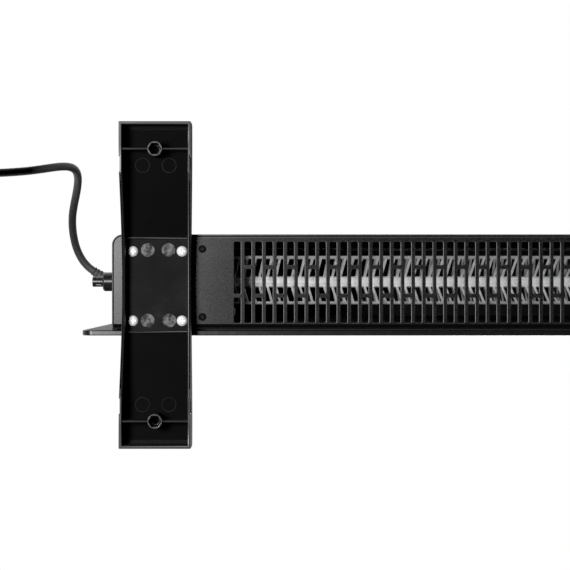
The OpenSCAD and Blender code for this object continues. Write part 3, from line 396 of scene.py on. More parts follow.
# Finishes, by the record's slots
finishes = {
    "glass": makeFinish(
        "blackGlass", (0.008, 0.008, 0.009), (0.01, 0.01, 0.012), (0.03, 0.06), bump=0.0, mottle=6.0),
    "gasket": makeFinish("foamTape", 0.03, 0.06, (0.8, 0.95), grain=1600.0, bump=0.5),
    "black_steel": makeFinish(
        "satinPowderCoat", (0.003, 0.003, 0.0032), (0.05, 0.05, 0.0505), (0.28, 0.34), grain=1500.0,
        bump=1.0, depth=0.000012, specular=0.36, contrast=(0.35, 0.65)),
    "textured_steel": makeFinish(
        "texturedPowderCoat", (0.0005, 0.0005, 0.0006), (0.026, 0.026, 0.0265), (0.25, 0.29), grain=1500.0,
        bump=1.0, depth=0.000012, specular=0.32, contrast=(0.35, 0.65)),
    "dark_steel": makeFinish("stovePaint", 0.012, 0.02, (0.55, 0.75), bump=0.2, specular=0.3),
    "galvanised": makeFinish(
        "zincSheet", (0.42, 0.43, 0.44), (0.6, 0.61, 0.62), (0.28, 0.42), grain=120.0, mottle=60.0,
        bump=0.05, metallic=1.0),
    "foot_plastic": makeFinish(
        "mouldedFoot", 0.006, 0.012, (0.4, 0.5), grain=1800.0, bump=0.3, depth=0.00003, specular=0.4),
    "zinc_screw": makeFinish(
        "brightZinc", (0.74, 0.74, 0.73), 0.92, (0.45, 0.6), mottle=500.0, bump=0.15, metallic=0.12),
    "black_screw": makeFinish(
        "blackOxide", (0.003, 0.003, 0.0035), 0.008, (0.4, 0.55), bump=0.1, specular=0.12),
    "element_aluminium": makeFinish(
        "rolledAluminium", (0.78, 0.79, 0.8), (0.92, 0.92, 0.93), (0.3, 0.45), grain=400.0, mottle=120.0,
        bump=0.08, metallic=0.4),
    "steel_sheath": makeFinish(
        "drawnSheath", (0.4, 0.38, 0.35), (0.55, 0.53, 0.5), (0.3, 0.45), grain=600.0, bump=0.1,
        metallic=1.0),
    "ceramic": makeFinish(
        "steatite", (0.75, 0.71, 0.62), (0.85, 0.82, 0.75), (0.5, 0.65), grain=1500.0, bump=0.2),
    "brass_tab": makeFinish(
        "stampedBrass", (0.62, 0.48, 0.22), (0.78, 0.63, 0.35), (0.25, 0.4), bump=0.05, metallic=1.0),
    "cast_weight": makeFinish("castZinc", 0.18, 0.32, (0.45, 0.6), grain=700.0, bump=0.4, metallic=1.0),
    "black_plastic": makeFinish("satinBlackPlastic", 0.012, 0.02, (0.35, 0.5), grain=1600.0, bump=0.15),
    "switch_gloss": makeFinish("rockerGloss", 0.012, 0.018, (0.16, 0.26), grain=2000.0, bump=0.05),
    "sensor_gloss": makeFinish("sensorGloss", 0.008, 0.014, (0.18, 0.3), grain=2000.0, bump=0.06),
    "circuit_board": makeFinish(
        "greenBoard", (0.01, 0.11, 0.04), (0.02, 0.16, 0.06), (0.25, 0.35), grain=500.0, bump=0.1),
    "component_plastic": makeFinish(
        "componentCases", (0.03, 0.03, 0.045), (0.07, 0.07, 0.1), (0.4, 0.55), bump=0.1),
    "white_nylon": makeFinish("naturalNylon", (0.7, 0.7, 0.65), (0.8, 0.8, 0.76), (0.4, 0.55), bump=0.1),
    "wire_sheath": makeFinish("wireSheath", 0.012, 0.03, (0.35, 0.5), bump=0.05),
    "wire_glass_sleeve": makeFinish(
        "glassSleeve", (0.1, 0.095, 0.08), (0.18, 0.17, 0.15), (0.7, 0.85), grain=2200.0, bump=0.5),
    "cord_rubber": makeFinish(
        "cordSheath", (0.04, 0.04, 0.042), (0.058, 0.058, 0.06), (0.45, 0.55), grain=1400.0, mottle=60.0,
        bump=0.15, depth=0.0001, specular=0.42),
    "tie_strap": makeFinish("hookStrap", 0.012, 0.03, (0.85, 0.95), grain=2600.0, bump=0.8, depth=0.0004),
    "plug_rubber": makeFinish("plugSheath", 0.02, 0.03, (0.4, 0.55), grain=1500.0, bump=0.25),
    "nickel_pin": makeFinish(
        "nickelPin", (0.6, 0.58, 0.52), (0.74, 0.72, 0.67), (0.18, 0.3), bump=0.04, metallic=1.0),
}
groundEdge = makeFinish("groundGlassEdge", 0.004, 0.01, (0.23, 0.27), mottle=200.0, bump=0.0)
enamel = makeFinish("glassBackEnamel", 0.01, 0.015, (0.45, 0.55), bump=0.2, specular=0.35)
coatEdge = makeFinish(
    "coatEdge", 0.01, 0.02, (0.4, 0.48), grain=1100.0, bump=0.0, specular=0.8, coat=0.5, coatRough=0.4)
# The fold finish is a darker, nearly glossless copy of the powder coat: painted shade for the folded front
# edges
foldShade = makeFinish(
    "foldShade", 0.002, 0.005, (0.4, 0.5), grain=800.0, bump=1.0, depth=0.00002, specular=0.03)
footEdge = makeFinish(
    "footEdge", 0.008, 0.014, (0.34, 0.42), grain=1800.0, bump=0.0, specular=1.0, coat=1.0, coatRough=0.3)
footSkin = makeFinish("footSkin", 0.006, 0.012, (0.75, 0.85), grain=1800.0, bump=0.0, specular=0.15)
footRib = makeFinish("footRib", 0.006, 0.012, (0.6, 0.7), grain=1800.0, bump=0.0, specular=0.28)
markGloss = makeFinish(
    "ejectorMark", 0.006, 0.14, (0.3, 0.6), grain=460.0, mottle=260.0, bump=0.2, specular=0.12,
    contrast=(0.42, 0.6))
# The seat and hollow finishes are darker copies of the moulded plastic: painted shade in the foot's recess;
# the seat also carries real dust
seatShadeAndDust = makeFinish(
    "footSeatShadeAndDust", 0.003, 0.006, (0.4, 0.55), grain=1800.0, bump=0.3, depth=0.00003, specular=0.04, dust=0.35)
hollowPaintedShade = makeFinish(
    "footHollowPaintedShade", 0.001, 0.0025, (0.38, 0.46), grain=1800.0, bump=0.3, depth=0.00003, specular=0.01)
# The core's finish is a lighter, less metallic copy of the element's aluminium: a painted highlight
corePaintedSheen = makeFinish(
    "coreAluminiumPaintedSheen", (0.86, 0.86, 0.87), 0.95, (0.34, 0.44), grain=400.0, mottle=120.0, bump=0.05,
    metallic=0.1)
printedMark = makeFinish("printedMark", (0.3, 0.3, 0.31), (0.36, 0.36, 0.37), (0.5, 0.6), bump=0.05)
print("finishes made")

# Mains lead, its strain relief, tie and plug
leadSettings = {"diameter": 6 * mm, "step": 2.5 * mm, "turnSteps": 96, "sides": 16, "crisp": 50,
                "casingSide": 380.0}

reliefPoints = [(0, 3.5, 70), (4, 4, 70), (8, 5, 69.9), (12, 6.5, 69.7), (15.6, 8.5, 69.5), (19, 11, 69.2)]
cordPoints = [
    (19, 11, 69.2), (22.4, 13.5, 68.9), (26.4, 17.9, 68.3), (29.8, 23.6, 67.5), (32.3, 30.2, 66.4),
    (33.9, 38, 64.8), (34.5, 46, 62.8), (34, 54, 60.2), (32.4, 61.6, 56.9), (30.3, 69, 52.7),
    (28.4, 75.6, 47.3), (27.2, 81, 40.8), (27.2, 85, 33.5), (28.8, 87.4, 26), (32, 88.1, 18.9),
    (36.8, 87.6, 12.7), (43, 86.4, 8), (50.5, 85, 5.2), (59, 83.8, 3.8), (68, 83, 3.2), (78, 82.4, 3.1),
    (90, 82.1, 3.2), (102, 82, 3.5), (114, 82, 3.8), (122, 82, 3.8), (129, 82, 3.8)]
tailPoints = [
    (181.65, 31, 10.4), (181.65, 26, 10.4), (181.5, 18, 9), (181.1, 10, 6.6), (180.5, 2, 4.4),
    (179.8, -6, 3.3), (179.2, -14, 3.4), (179, -22.6, 4.95), (179, -29, 6.95)]
coil = {"centre": (135, 37), "floor": 3.8, "pitch": 6.6, "inner": 21.9, "turnsIn": 3.5, "turnsOut": 3.75}


def besideCasing(points):
    side = leadSettings["casingSide"]
    return [Vector(((side + x) * mm, y * mm, z * mm)) for x, y, z in points]


def coilPoint(t):
    # The point of the coil t turns after the middle, where the lead climbs to the upper layer
    rise = min(1.0, max(0.0, 2 * t + 0.5))
    radius = coil["inner"] + coil["pitch"] * abs(t)
    angle = math.radians(90 - 360 * (t + coil["turnsIn"]))
    return (coil["centre"][0] + radius * math.cos(angle), coil["centre"][1] + radius * math.sin(angle),
            coil["floor"] + coil["pitch"] * rise * rise * (3 - 2 * rise))


def leadLine():
    perTurn = leadSettings["turnSteps"]
    steps = round((coil["turnsIn"] + coil["turnsOut"]) * perTurn)
    turns = besideCasing([coilPoint(i / perTurn - coil["turnsIn"]) for i in range(steps + 1)])
    before = smoothLine(besideCasing(cordPoints) + [turns[0]], leadSettings["step"])
    after = smoothLine([turns[-1]] + besideCasing(tailPoints), leadSettings["step"])
    return before[:-1] + turns + after[1:]


def lineLength(line):
    return sum((b - a).length for a, b in zip(line, line[1:]))


lead = leadLine()
leadRadius = leadSettings["diameter"] / 2
leadMesh = tubeMesh("mainsLead", lead, [leadRadius] * len(lead), leadSettings["sides"])
mainsLead = linkMesh("mainsLead", markCorners(leadMesh, leadSettings["crisp"]), "heater",
                     "cord_rubber", ["mains_cord", "cord_coil", "cord_tail"])

# Casing, glass and screws with rounded edges
glassSettings = {"edge": 0.7, "steps": 3, "facing": 0.9}
casingSettings = {
    "edges": {"front_panel": 0.5, "rear_panel": 0.5, "end_cap_right": 0.7, "end_cap_left": 0.7},
    "steps": 3, "shortest": 0.33, "facing": 0.9, "foot": 0.031, "upright": 0.1, "uprightShare": 0.4,
}
smallEdges = {
    "foot_screws_right": 0.12, "foot_screws_left": 0.12, "bottom_plate_screws": 0.12, "rear_screws": 0.12,
    "sensor_collar": 0.3, "sensor_cap": 0.25, "rocker_housing": 0.4, "rocker": 0.5, "terminal_block": 0.3,
    "tip_microswitch": 0.3, "tip_pendulum": 0.3, "thermal_cutout": 0.25, "board_components": 0.25,
}


def glassFaces(mesh):
    # The rear face of the glass is enamelled, its narrow sides are ground
    mesh.materials.append(enamel)
    for face in mesh.polygons:
        if face.normal.y > glassSettings["facing"]:
            face.material_index = 2
        elif face.normal.y > -glassSettings["facing"]:
            face.material_index = 1


def shadedFoot(mesh):
    # Painted shade: the front sheet's downward faces take a darker, nearly glossless copy of the coat,
    # standing in for the shade between glass and plate
    mesh.materials.append(foldShade)
    for face in mesh.polygons:
        if face.normal.z < -casingSettings["facing"]:
            face.material_index = 2


def panelShare(edge):
    # The sheets' lower edges stay sharp, their upright ones are rounded less
    low, high = sorted(v.co.z for v in edge.verts)
    if high < casingSettings["foot"]:
        return 0.0
    return casingSettings["uprightShare"] if high - low > casingSettings["upright"] else 1.0


softenedCopy("glass_panel", "glassFront", glassSettings["edge"], glassSettings["steps"], groundEdge,
             glassFaces)
for nodeName, width in casingSettings["edges"].items():
    own = {"merge": False, "shortest": casingSettings["shortest"]}
    if nodeName.endswith("panel"):
        own = {"share": panelShare, "extra": shadedFoot if nodeName == "front_panel" else None}
    softenedCopy(nodeName, nodeName + ".coated", width, casingSettings["steps"], coatEdge, **own)
for nodeName, width in smallEdges.items():
    softenedCopy(nodeName, nodeName + ".softened", width)
print("casing made")

# Slotted plates of the intake and outlet, with folded edges and rounded slots
plateSettings = {
    "half": 378.5, "inner": 353.7, "front": -31.8, "rear": 36.5, "rearFold": 36.8, "corner": 6.5,
    "sheet": 1.2, "flange": 12.0, "frontBend": 2.6, "rearBend": 1.25, "bendSteps": 6, "shortFlange": 0.01,
    "columns": 72, "pitch": 8.0, "slot": 5.0, "first": 288.3, "low": -28.4, "high": 32.5, "bridge": 3.0,
    "bridges": (-8.0, 13.5), "round": 1.0, "cornerPoints": 5, "lip": 0.42, "lipSteps": 3,
    "bottom": 28.0, "top": 423.0, "weld": 2e-6,
}


class SheetBuilder:
    def __init__(self):
        self.verts, self.faces, self.kinds = [], [], []

    def add(self, points, kind):
        first = len(self.verts)
        self.verts.extend(points)
        self.faces.append(tuple(range(first, first + len(points))))
        self.kinds.append(kind)

    def flat(self, outline, z, down):
        # A flat face from a counter-clockwise outline
        points = [(x, y, z) for x, y in outline]
        self.add(points[::-1] if down else points, 0)

    def sweep(self, profile, x0, x1, kinds):
        # A strip along X for each step of a (y, z) profile
        for (y0, z0), (y1, z1), kind in zip(profile, profile[1:], kinds):
            self.add([(x0, y0, z0), (x0, y1, z1), (x1, y1, z1), (x1, y0, z0)], kind)


def slotOutline(x0, x1, y0, y1, grow):
    radius, last = plateSettings["round"] + grow, plateSettings["cornerPoints"] - 1
    x0, x1, y0, y1 = x0 - grow, x1 + grow, y0 - grow, y1 + grow
    points = []
    for cx, cy, start in ((x0 + radius, y0 + radius, 180), (x1 - radius, y0 + radius, 270),
                          (x1 - radius, y1 - radius, 0), (x0 + radius, y1 - radius, 90)):
        for k in range(last + 1):
            a = math.radians(start + 90 * k / last)
            points.append((cx + radius * math.cos(a), cy + radius * math.sin(a)))
    return points


def addSlot(sheet, cell, slot):
    # A rounded slot in its rectangular cell: the flat faces around it, then its rolled walls
    p = plateSettings
    lip, t, n = p["lip"], p["sheet"], p["cornerPoints"]
    corners = [(cell[0], cell[2]), (cell[1], cell[2]), (cell[1], cell[3]), (cell[0], cell[3])]
    steps = [math.pi / 2 * k / p["lipSteps"] for k in range(p["lipSteps"] + 1)]
    levels = [(lip * (1 - math.sin(a)), lip * (1 - math.cos(a))) for a in steps]
    levels += [(grow, t - depth) for grow, depth in reversed(levels)]
    rings = [(slotOutline(*slot, grow), z) for grow, z in levels]
    for ring, z, down in ((rings[0][0], 0.0, True), (rings[-1][0], t, False)):
        for c in range(4):
            arc = ring[n * c:n * c + n]
            flat = [(corners[c], u, v) for u, v in zip(arc, arc[1:])]
            flat.append((corners[c], arc[-1], ring[(n * c + n) % len(ring)], corners[(c + 1) % 4]))
            for points in flat:
                sheet.add([(*point, z) for point in (points if down else points[::-1])], 0)
    for (low, z0), (high, z1) in zip(rings, rings[1:]):
        for j in range(len(low)):
            k = (j + 1) % len(low)
            sheet.add([(*low[j], z0), (*high[j], z1), (*high[k], z1), (*low[k], z0)], 1)


def foldProfile(y, bend, side, height):
    # Outside then inside of a fold from the plate up into its flange
    steps, inner = plateSettings["bendSteps"], bend - plateSettings["sheet"]
    out, inside = [], []
    for k in range(steps + 1):
        a = math.pi / 2 * k / steps
        out.append((y + side * bend * math.sin(a), bend * (1 - math.cos(a))))
        inside.append((y + side * inner * math.sin(a), bend - inner * math.cos(a)))
    return out + [(y + side * bend, height), (y + side * inner, height)] + inside[::-1]


def makePlate(name, upside):
    p = plateSettings
    sheet = SheetBuilder()
    margin = (p["pitch"] - p["slot"]) / 2
    startX = p["first"] + margin
    endX = p["first"] - p["slot"] - (p["columns"] - 1) * p["pitch"] - margin
    foldY, rearY = p["front"] + p["frontBend"], p["rearFold"] - p["rearBend"]
    for k in range(p["columns"]):
        x = p["first"] - p["slot"] - k * p["pitch"]
        bridge = p["bridges"][k % 2]
        for cellY, slotY in (((foldY, bridge), (p["low"], bridge - p["bridge"] / 2)),
                             ((bridge, rearY), (bridge + p["bridge"] / 2, p["high"]))):
            addSlot(sheet, (x - margin, x + p["slot"] + margin, *cellY), (x, x + p["slot"], *slotY))
    steps, bend = p["bendSteps"], p["corner"]
    turns = [math.pi / 2 * k / steps for k in range(steps + 1)]
    arc = [(p["half"] - bend * (1 - math.cos(a)), p["rear"] - bend * (1 - math.sin(a))) for a in turns]
    right = [(p["inner"], foldY), (p["half"], foldY)] + arc + [(p["inner"], p["rear"])]
    left = [(-x, y) for x, y in reversed(right)]
    blocks = [right, left, [(startX, foldY), (p["inner"], foldY), (p["inner"], rearY), (startX, rearY)],
              [(-p["inner"], foldY), (endX, foldY), (endX, rearY), (-p["inner"], rearY)]]
    for outline in blocks:
        sheet.flat(outline, 0.0, True)
        sheet.flat(outline, p["sheet"], False)
    for outline in (right, left):
        for (x0, y0), (x1, y1) in zip(outline[1:], outline[2:]):
            if abs(x0) > p["inner"] or abs(x1) > p["inner"]:
                sheet.add([(x0, y0, 0), (x1, y1, 0), (x1, y1, p["sheet"]), (x0, y0, p["sheet"])], 0)
    front = foldProfile(foldY, p["frontBend"], -1, p["flange"])
    short = foldProfile(foldY, p["frontBend"], -1, p["frontBend"] + p["shortFlange"])
    rear = foldProfile(rearY, p["rearBend"], 1, p["flange"])
    for profile, x0, x1 in ((front, p["inner"], -p["inner"]), (short, p["half"], p["inner"]),
                            (short, -p["inner"], -p["half"]), (rear, -p["inner"], p["inner"])):
        sheet.sweep(profile, x0, x1, [1] * steps + [0] * 3 + [1] * steps)
    verts = [(x, y, p["top"] - z if upside else p["bottom"] + z) for x, y, z in sheet.verts]
    faces = [face[::-1] for face in sheet.faces] if upside else sheet.faces
    mesh = bpy.data.meshes.new(name)
    mesh.from_pydata([tuple(c * mm for c in v) for v in verts], [], faces)
    mesh.update()
    linkMesh(name, mesh, "heater", "textured_steel", ["top_grille" if upside else "bottom_plate"])
    mesh.materials.append(coatEdge)
    # The front fold takes the fold finish: painted shade under the glass
    mesh.materials.append(foldShade)
    for face, kind in zip(mesh.polygons, sheet.kinds):
        face.use_smooth = kind == 1
        face.material_index = 2 if face.center.y < foldY * mm else kind
    weldMesh(mesh, p["weld"])


makePlate("intakePlate", False)
makePlate("outletPlate", True)
print("slotted plates made")

# Printed marks over the touch pads
touchSettings = {"y": -38.0, "z": 375.0, "minus": 334.0, "plus": 343.0, "power": 352.0,
                 "half": 1.6, "line": 0.22, "thick": 0.03, "sunk": 0.05, "sides": 48, "crisp": 30}


def makeTouchMarks():
    t = touchSettings
    verts, faces = [], []
    front, back = t["y"] - t["thick"], t["y"] + t["sunk"]

    def bar(x, z, halfX, halfZ):
        near = [Vector((x + i * halfX, front, z + j * halfZ)) * mm
                for i, j in ((-1, -1), (1, -1), (1, 1), (-1, 1))]
        barOfSections([near, [v + Vector((0, (back - front) * mm, 0)) for v in near]], verts, faces)

    for place in ("minus", "plus"):
        bar(t[place], t["z"], t["half"], t["line"])
    for up in (1, -1):
        bar(t["plus"], t["z"] + up * (t["half"] + t["line"]) / 2, t["line"], (t["half"] - t["line"]) / 2)
    outer, inner = t["half"] * mm, (t["half"] - 2 * t["line"]) * mm
    low, high = -t["sunk"] * mm, t["thick"] * mm
    profile = [(low, inner), (high, inner), (high, outer), (low, outer), (low, inner)]
    place = Vector((t["power"], t["y"], t["z"])) * mm
    ring = turnedMesh("touchRing", profile, place, (0, -1, 0), t["sides"])
    return joinMeshes("touchMarks", [meshFrom("touchBars", verts, faces), ring], t["crisp"])


linkMesh("touchMarks", makeTouchMarks(), "heater", "component_plastic", finish=printedMark)

# Feet with the round marks that their mould's ejector pins leave
footSettings = {
    "edge": 1.1, "steps": 3, "shortest": 0.4, "share": 0.55, "centre": 345.5,
    "boss": 100.0, "bossReach": 6.5, "bossEdge": 0.27, "ribEdge": 0.22, "ribReach": 1.0, "ribInside": 23.9,
    "archEdge": 0.19, "archFrom": 0.5, "archUnder": 16.5, "archOuter": 24.9, "skinFrom": 20.0,
    "down": 0.9, "sideways": 0.8, "near": 0.1, "ribBelow": 2.0, "castorRib": 1.5, "seatRib": 21.5,
    "seat": 25.0, "slopeStart": 36.0, "slope": 7.3 / 79.2,
    "marks": [(7.3, 26.2), (-8.3, 26.2), (7.3, -26.6), (-8.9, -26.6)], "markRadius": 5.1,
    "rings": [(10.7, 89.1), (-9.1, 89.1), (10.8, -89.1), (-8.9, -89.1)], "ringRadius": 5.6, "ringWall": 0.7,
    "rise": 0.12, "markEdge": 0.12, "sunk": 0.3, "markSides": 48,
}


def footUnderside(y):
    return footSettings["seat"] - max(0.0, abs(y) - footSettings["slopeStart"]) * footSettings["slope"]


def addRing(mesh, x, y, outer, inner, index):
    # A low disc or ring moulded on the underside, its back sunk into the plastic
    f = footSettings
    sides, rise, edge = f["markSides"], f["rise"], f["markEdge"]
    work = bmesh.new()
    work.from_mesh(mesh)
    profile = [(outer, -f["sunk"]), (outer, rise * 0.5), (outer - edge, rise)]
    if inner:
        profile += [(inner + edge, rise), (inner, rise * 0.5), (inner, -f["sunk"])]
    rings = []
    for radius, drop in profile:
        ring = []
        for k in range(sides):
            a = 2 * math.pi * k / sides
            px, py = x + radius * math.cos(a), y + radius * math.sin(a)
            ring.append(work.verts.new(Vector((px, py, footUnderside(py) - drop)) * mm))
        rings.append(ring)
    faces = []
    joinRings(rings + rings[:1] if inner else rings, faces)
    if not inner:
        faces += [tuple(rings[-1]), tuple(reversed(rings[0]))]
    made = [work.faces.new(face) for face in faces]
    for face in made:
        face.material_index = index
        face.smooth = True
    bmesh.ops.recalc_face_normals(work, faces=made)
    for ring in rings:
        for k in range(sides):
            work.edges.get((ring[k], ring[(k + 1) % sides])).smooth = False
    closeWork(work, mesh)


def mouldMarks(side):
    def add(mesh):
        f = footSettings
        # Downward faces in the recess take the darker seat and hollow finishes: painted shade
        for finish in (markGloss, seatShadeAndDust, hollowPaintedShade, footSkin, footRib):  # indexes 2 to 6
            mesh.materials.append(finish)
        for face in mesh.polygons:
            across = face.center.x / mm - side * f["centre"]
            if face.normal.z < -f["down"]:
                low = face.center.z / mm
                if abs(low - f["castorRib"]) < f["near"]:
                    face.material_index = 6
                elif abs(low - f["seat"]) < f["near"]:
                    face.material_index = 3
                elif low > f["ribBelow"] and abs(low - f["seatRib"]) > f["near"]:
                    face.material_index = 4
            elif abs(face.normal.x) > f["sideways"] and abs(across) > f["skinFrom"]:
                if across * face.normal.x > 0:
                    face.material_index = 5
        for x, y in f["marks"]:
            addRing(mesh, side * (f["centre"] + x), y, f["markRadius"], 0, 2)
        for x, y in f["rings"]:
            addRing(mesh, side * (f["centre"] + x), y, f["ringRadius"], f["ringRadius"] - f["ringWall"], 3)
    return add


def footShare(edge):
    # Outward edges are rounded: most inside the arch, least on its outside, the ribs and the castor bosses
    f = footSettings
    middle = (edge.verts[0].co + edge.verts[1].co) / (2 * mm)
    across, along = abs(middle.x) - f["centre"], abs(middle.y) - f["boss"]
    if not edge.is_convex:
        return 0.0
    if math.hypot(across, along) < f["bossReach"]:
        return f["bossEdge"]
    if abs(along) < f["ribReach"] and abs(across) < f["ribInside"]:
        return f["ribEdge"]
    inArch = f["archFrom"] < middle.z < f["archUnder"] and along < -f["bossReach"]
    if inArch and abs(across) > f["skinFrom"]:
        return f["archEdge"] if abs(across) > f["archOuter"] else 1.0
    return f["share"]


for side, nodeName, pieceName in ((1, "foot_right", "footRight"), (-1, "foot_left", "footLeft")):
    softenedCopy(nodeName, pieceName, footSettings["edge"], footSettings["steps"], footEdge,
                 mouldMarks(side), merge=False, shortest=footSettings["shortest"], share=footShare)
print("feet made")

# Louvred heating element
elementSettings = {
    "length": 580.0, "y": 2.5, "z": 75.0, "core": 8.2, "bore": 6.1, "coreEdge": 0.3, "coreSides": 48,
    "slope": 40.0, "root": 5.1, "rail": 1.7, "plate": 1.1, "rootSunk": 0.6, "cuts": 60, "crisp": 28,
    "pitch": 6.3, "lean": -3.5, "gap": 4.1, "bladeThickness": 0.7, "sections": 7, "bladeSunk": 0.4,
    "twistShape": 0.45, "endRoom": 3.0, "endBlade": 0.6,
    "wings": {"rear": {"reach": 19.6, "width": 1.9, "twist": 30.0, "side": 1},
              "front": {"reach": 17.0, "width": 1.8, "twist": 55.0, "side": -1}},
}


def wingPoint(x, out, up, angle):
    e = elementSettings
    ca, sa = math.cos(angle), math.sin(angle)
    return Vector((x, e["y"] + out * ca - up * sa, e["z"] + out * sa + up * ca)) * mm


def addStrip(verts, faces, low, high, angle):
    e = elementSettings
    h = e["plate"] / 2
    sections = []
    for i in range(e["cuts"] + 1):
        x = e["length"] * (i / e["cuts"] - 0.5)
        corners = ((low, -h), (high, -h), (high, h), (low, h))
        sections.append([wingPoint(x, out, up, angle) for out, up in corners])
    barOfSections(sections, verts, faces)


def addBlade(verts, faces, x, low, high, width, twist, angle):
    e = elementSettings
    t = e["bladeThickness"] / 2
    sections = []
    for i in range(e["sections"]):
        u = i / (e["sections"] - 1)
        turn = twist * math.sin(math.pi * u) ** e["twistShape"]
        out = low + (high - low) * u
        centre = x + e["lean"] * u
        corners = []
        for across, through in ((-width / 2, -t), (width / 2, -t), (width / 2, t), (-width / 2, t)):
            dx = across * math.cos(turn) - through * math.sin(turn)
            up = across * math.sin(turn) + through * math.cos(turn)
            corners.append(wingPoint(centre + dx, out, up, angle))
        sections.append(corners)
    barOfSections(sections, verts, faces)


def makeElement():
    e = elementSettings
    verts, faces = [], []
    count = int((e["length"] - 2 * e["pitch"]) // e["pitch"])
    limit = e["length"] / 2 - e["endRoom"]
    for label, wing in e["wings"].items():
        reach, width = wing["reach"] / math.cos(math.radians(e["slope"])), wing["width"]
        low, high = e["root"] - e["bladeSunk"], reach - e["rail"] + e["bladeSunk"]
        for slope in (-e["slope"], e["slope"]):
            angle = math.radians(slope)
            if label == "front":
                angle = math.pi - angle
            twist = math.radians(wing["twist"]) * wing["side"]
            addStrip(verts, faces, e["core"] / 2 - e["rootSunk"], e["root"], angle)
            addStrip(verts, faces, reach - e["rail"], reach, angle)
            for k in range(count + 1):
                x = (k - count / 2) * e["pitch"] - (e["pitch"] - e["gap"]) / 2
                if abs(x) < limit - width and abs(x + e["lean"]) < limit - width:
                    addBlade(verts, faces, x, low, high, width, twist, angle)
            for end in (-1, 1):
                x = end * limit - e["lean"] / 2
                addBlade(verts, faces, x, low, high, e["endBlade"] * width, 0.0, angle)
    length, bore, outer, edge = e["length"], e["bore"] / 2, e["core"] / 2, e["coreEdge"]
    profile = [(0, bore), (0, outer - edge), (edge, outer), (length - edge, outer),
               (length, outer - edge), (length, bore), (0, bore)]
    core = turnedMesh("elementCore", [(a * mm, r * mm) for a, r in profile],
                      Vector((-length / 2, e["y"], e["z"])) * mm, (1, 0, 0), e["coreSides"])
    coreStart = len(faces)
    addMesh(core, verts, faces)
    return markCorners(meshFrom("louvredElement", verts, faces), e["crisp"]), coreStart


elementMesh, coreStart = makeElement()
linkMesh("louvredElement", elementMesh, "heater", "element_aluminium", ["element_profile"])
# The core tube takes the lighter copy: painted highlight
elementMesh.materials.append(corePaintedSheen)
for face in elementMesh.polygons[coreStart:]:
    face.material_index = 1
print("element made")

# Strain relief, strap round the coil and plug
reliefSettings = {
    "from": 4.6, "to": 3.55, "rib": 0.5, "ribs": 7, "step": 0.4, "sides": 40, "crisp": 30,
    "flange": 6.5, "neck": 4.8, "sheet": 1.2, "behind": 5.0, "front": 1.8, "end": 2.4, "bead": 0.35,
    "shoulder": 0.6, "flangeSides": 64,
}


def makeRelief():
    r = reliefSettings
    line = smoothLine(besideCasing(reliefPoints), r["step"] * mm)
    total = lineLength(line)
    radii, gone = [], 0.0
    for i, p in enumerate(line):
        gone += (p - line[i - 1]).length if i else 0.0
        u = gone / total
        groove = 0.5 - 0.5 * math.cos(2 * math.pi * u * r["ribs"])
        radii.append((r["from"] + (r["to"] - r["from"]) * u - r["rib"] * groove ** 3) * mm)
    sleeve = tubeMesh("reliefSleeve", line, radii, r["sides"])
    sheet, wide, bead, front = -r["sheet"], r["flange"], r["bead"], r["front"]
    back = sheet - r["behind"]
    profile = [(back, 0), (back, wide - bead), (back + bead, wide), (sheet, wide), (sheet, r["neck"]),
               (0, r["neck"]), (0, wide), (front - bead, wide), (front, wide - bead),
               (front, r["from"] + r["shoulder"]), (r["end"], r["from"]), (r["end"], 0)]
    exit = besideCasing([reliefPoints[0]])[0]
    collar = turnedMesh("reliefCollar", [(a * mm, b * mm) for a, b in profile], exit, (1, 0, 0),
                        r["flangeSides"])
    return joinMeshes("strainRelief", [sleeve, collar], r["crisp"])


linkMesh("strainRelief", makeRelief(), "heater", "cord_rubber", ["strain_relief"])

strapSettings = {
    "angle": 215.0, "near": 17.6, "far": 50.95, "top": 14.3, "thick": 0.7, "width": 10.0, "corner": 3.2,
    "cornerSteps": 8, "tailFrom": 26.0, "tailTo": 46.0, "tailSteps": 10, "tailGap": 0.05, "crisp": 40,
}


def makeStrap():
    # A loop around the coil's turns, with its tail laid back over the top
    s = strapSettings
    half = s["thick"] / 2
    near, far, low, high, bend = s["near"] + half, s["far"] - half, half, s["top"] - half, s["corner"]
    loop = []
    for cx, cz, start in ((far - bend, low + bend, -90), (far - bend, high - bend, 0),
                          (near + bend, high - bend, 90), (near + bend, low + bend, 180)):
        for k in range(s["cornerSteps"] + 1):
            a = math.radians(start + 90 * k / s["cornerSteps"])
            loop.append((cx + bend * math.cos(a), cz + bend * math.sin(a)))
    length, steps = s["tailTo"] - s["tailFrom"], s["tailSteps"]
    tail = [(s["tailTo"] - length * k / steps, high + s["thick"] + s["tailGap"]) for k in range(steps + 1)]
    angle = math.radians(s["angle"])
    out = Vector((math.cos(angle), math.sin(angle), 0))
    across = Vector((-math.sin(angle), math.cos(angle), 0))
    middle = besideCasing([(*coil["centre"], 0)])[0]
    verts, faces = [], []
    for path, closed in ((loop, True), (tail, False)):
        ends = path[-1:] + path + path[:1] if closed else path[:1] + path + path[-1:]
        sections = []
        for before, (u, z), after in zip(ends, path, ends[2:]):
            du, dz = after[0] - before[0], after[1] - before[1]
            size = math.hypot(du, dz)
            nu, nz = dz / size, -du / size
            corners = []
            for side, lift in ((-0.5, -half), (0.5, -half), (0.5, half), (-0.5, half)):
                sideways = out * (u + nu * lift) + across * side * s["width"]
                corners.append(middle + sideways * mm + Vector((0, 0, (z + nz * lift) * mm)))
            sections.append(corners)
        barOfSections(sections, verts, faces, closed)
    return markCorners(meshFrom("cordStrap", verts, faces), s["crisp"])


cordStrap = linkMesh("cordStrap", makeStrap(), "heater", "tie_strap", ["cord_tie"])

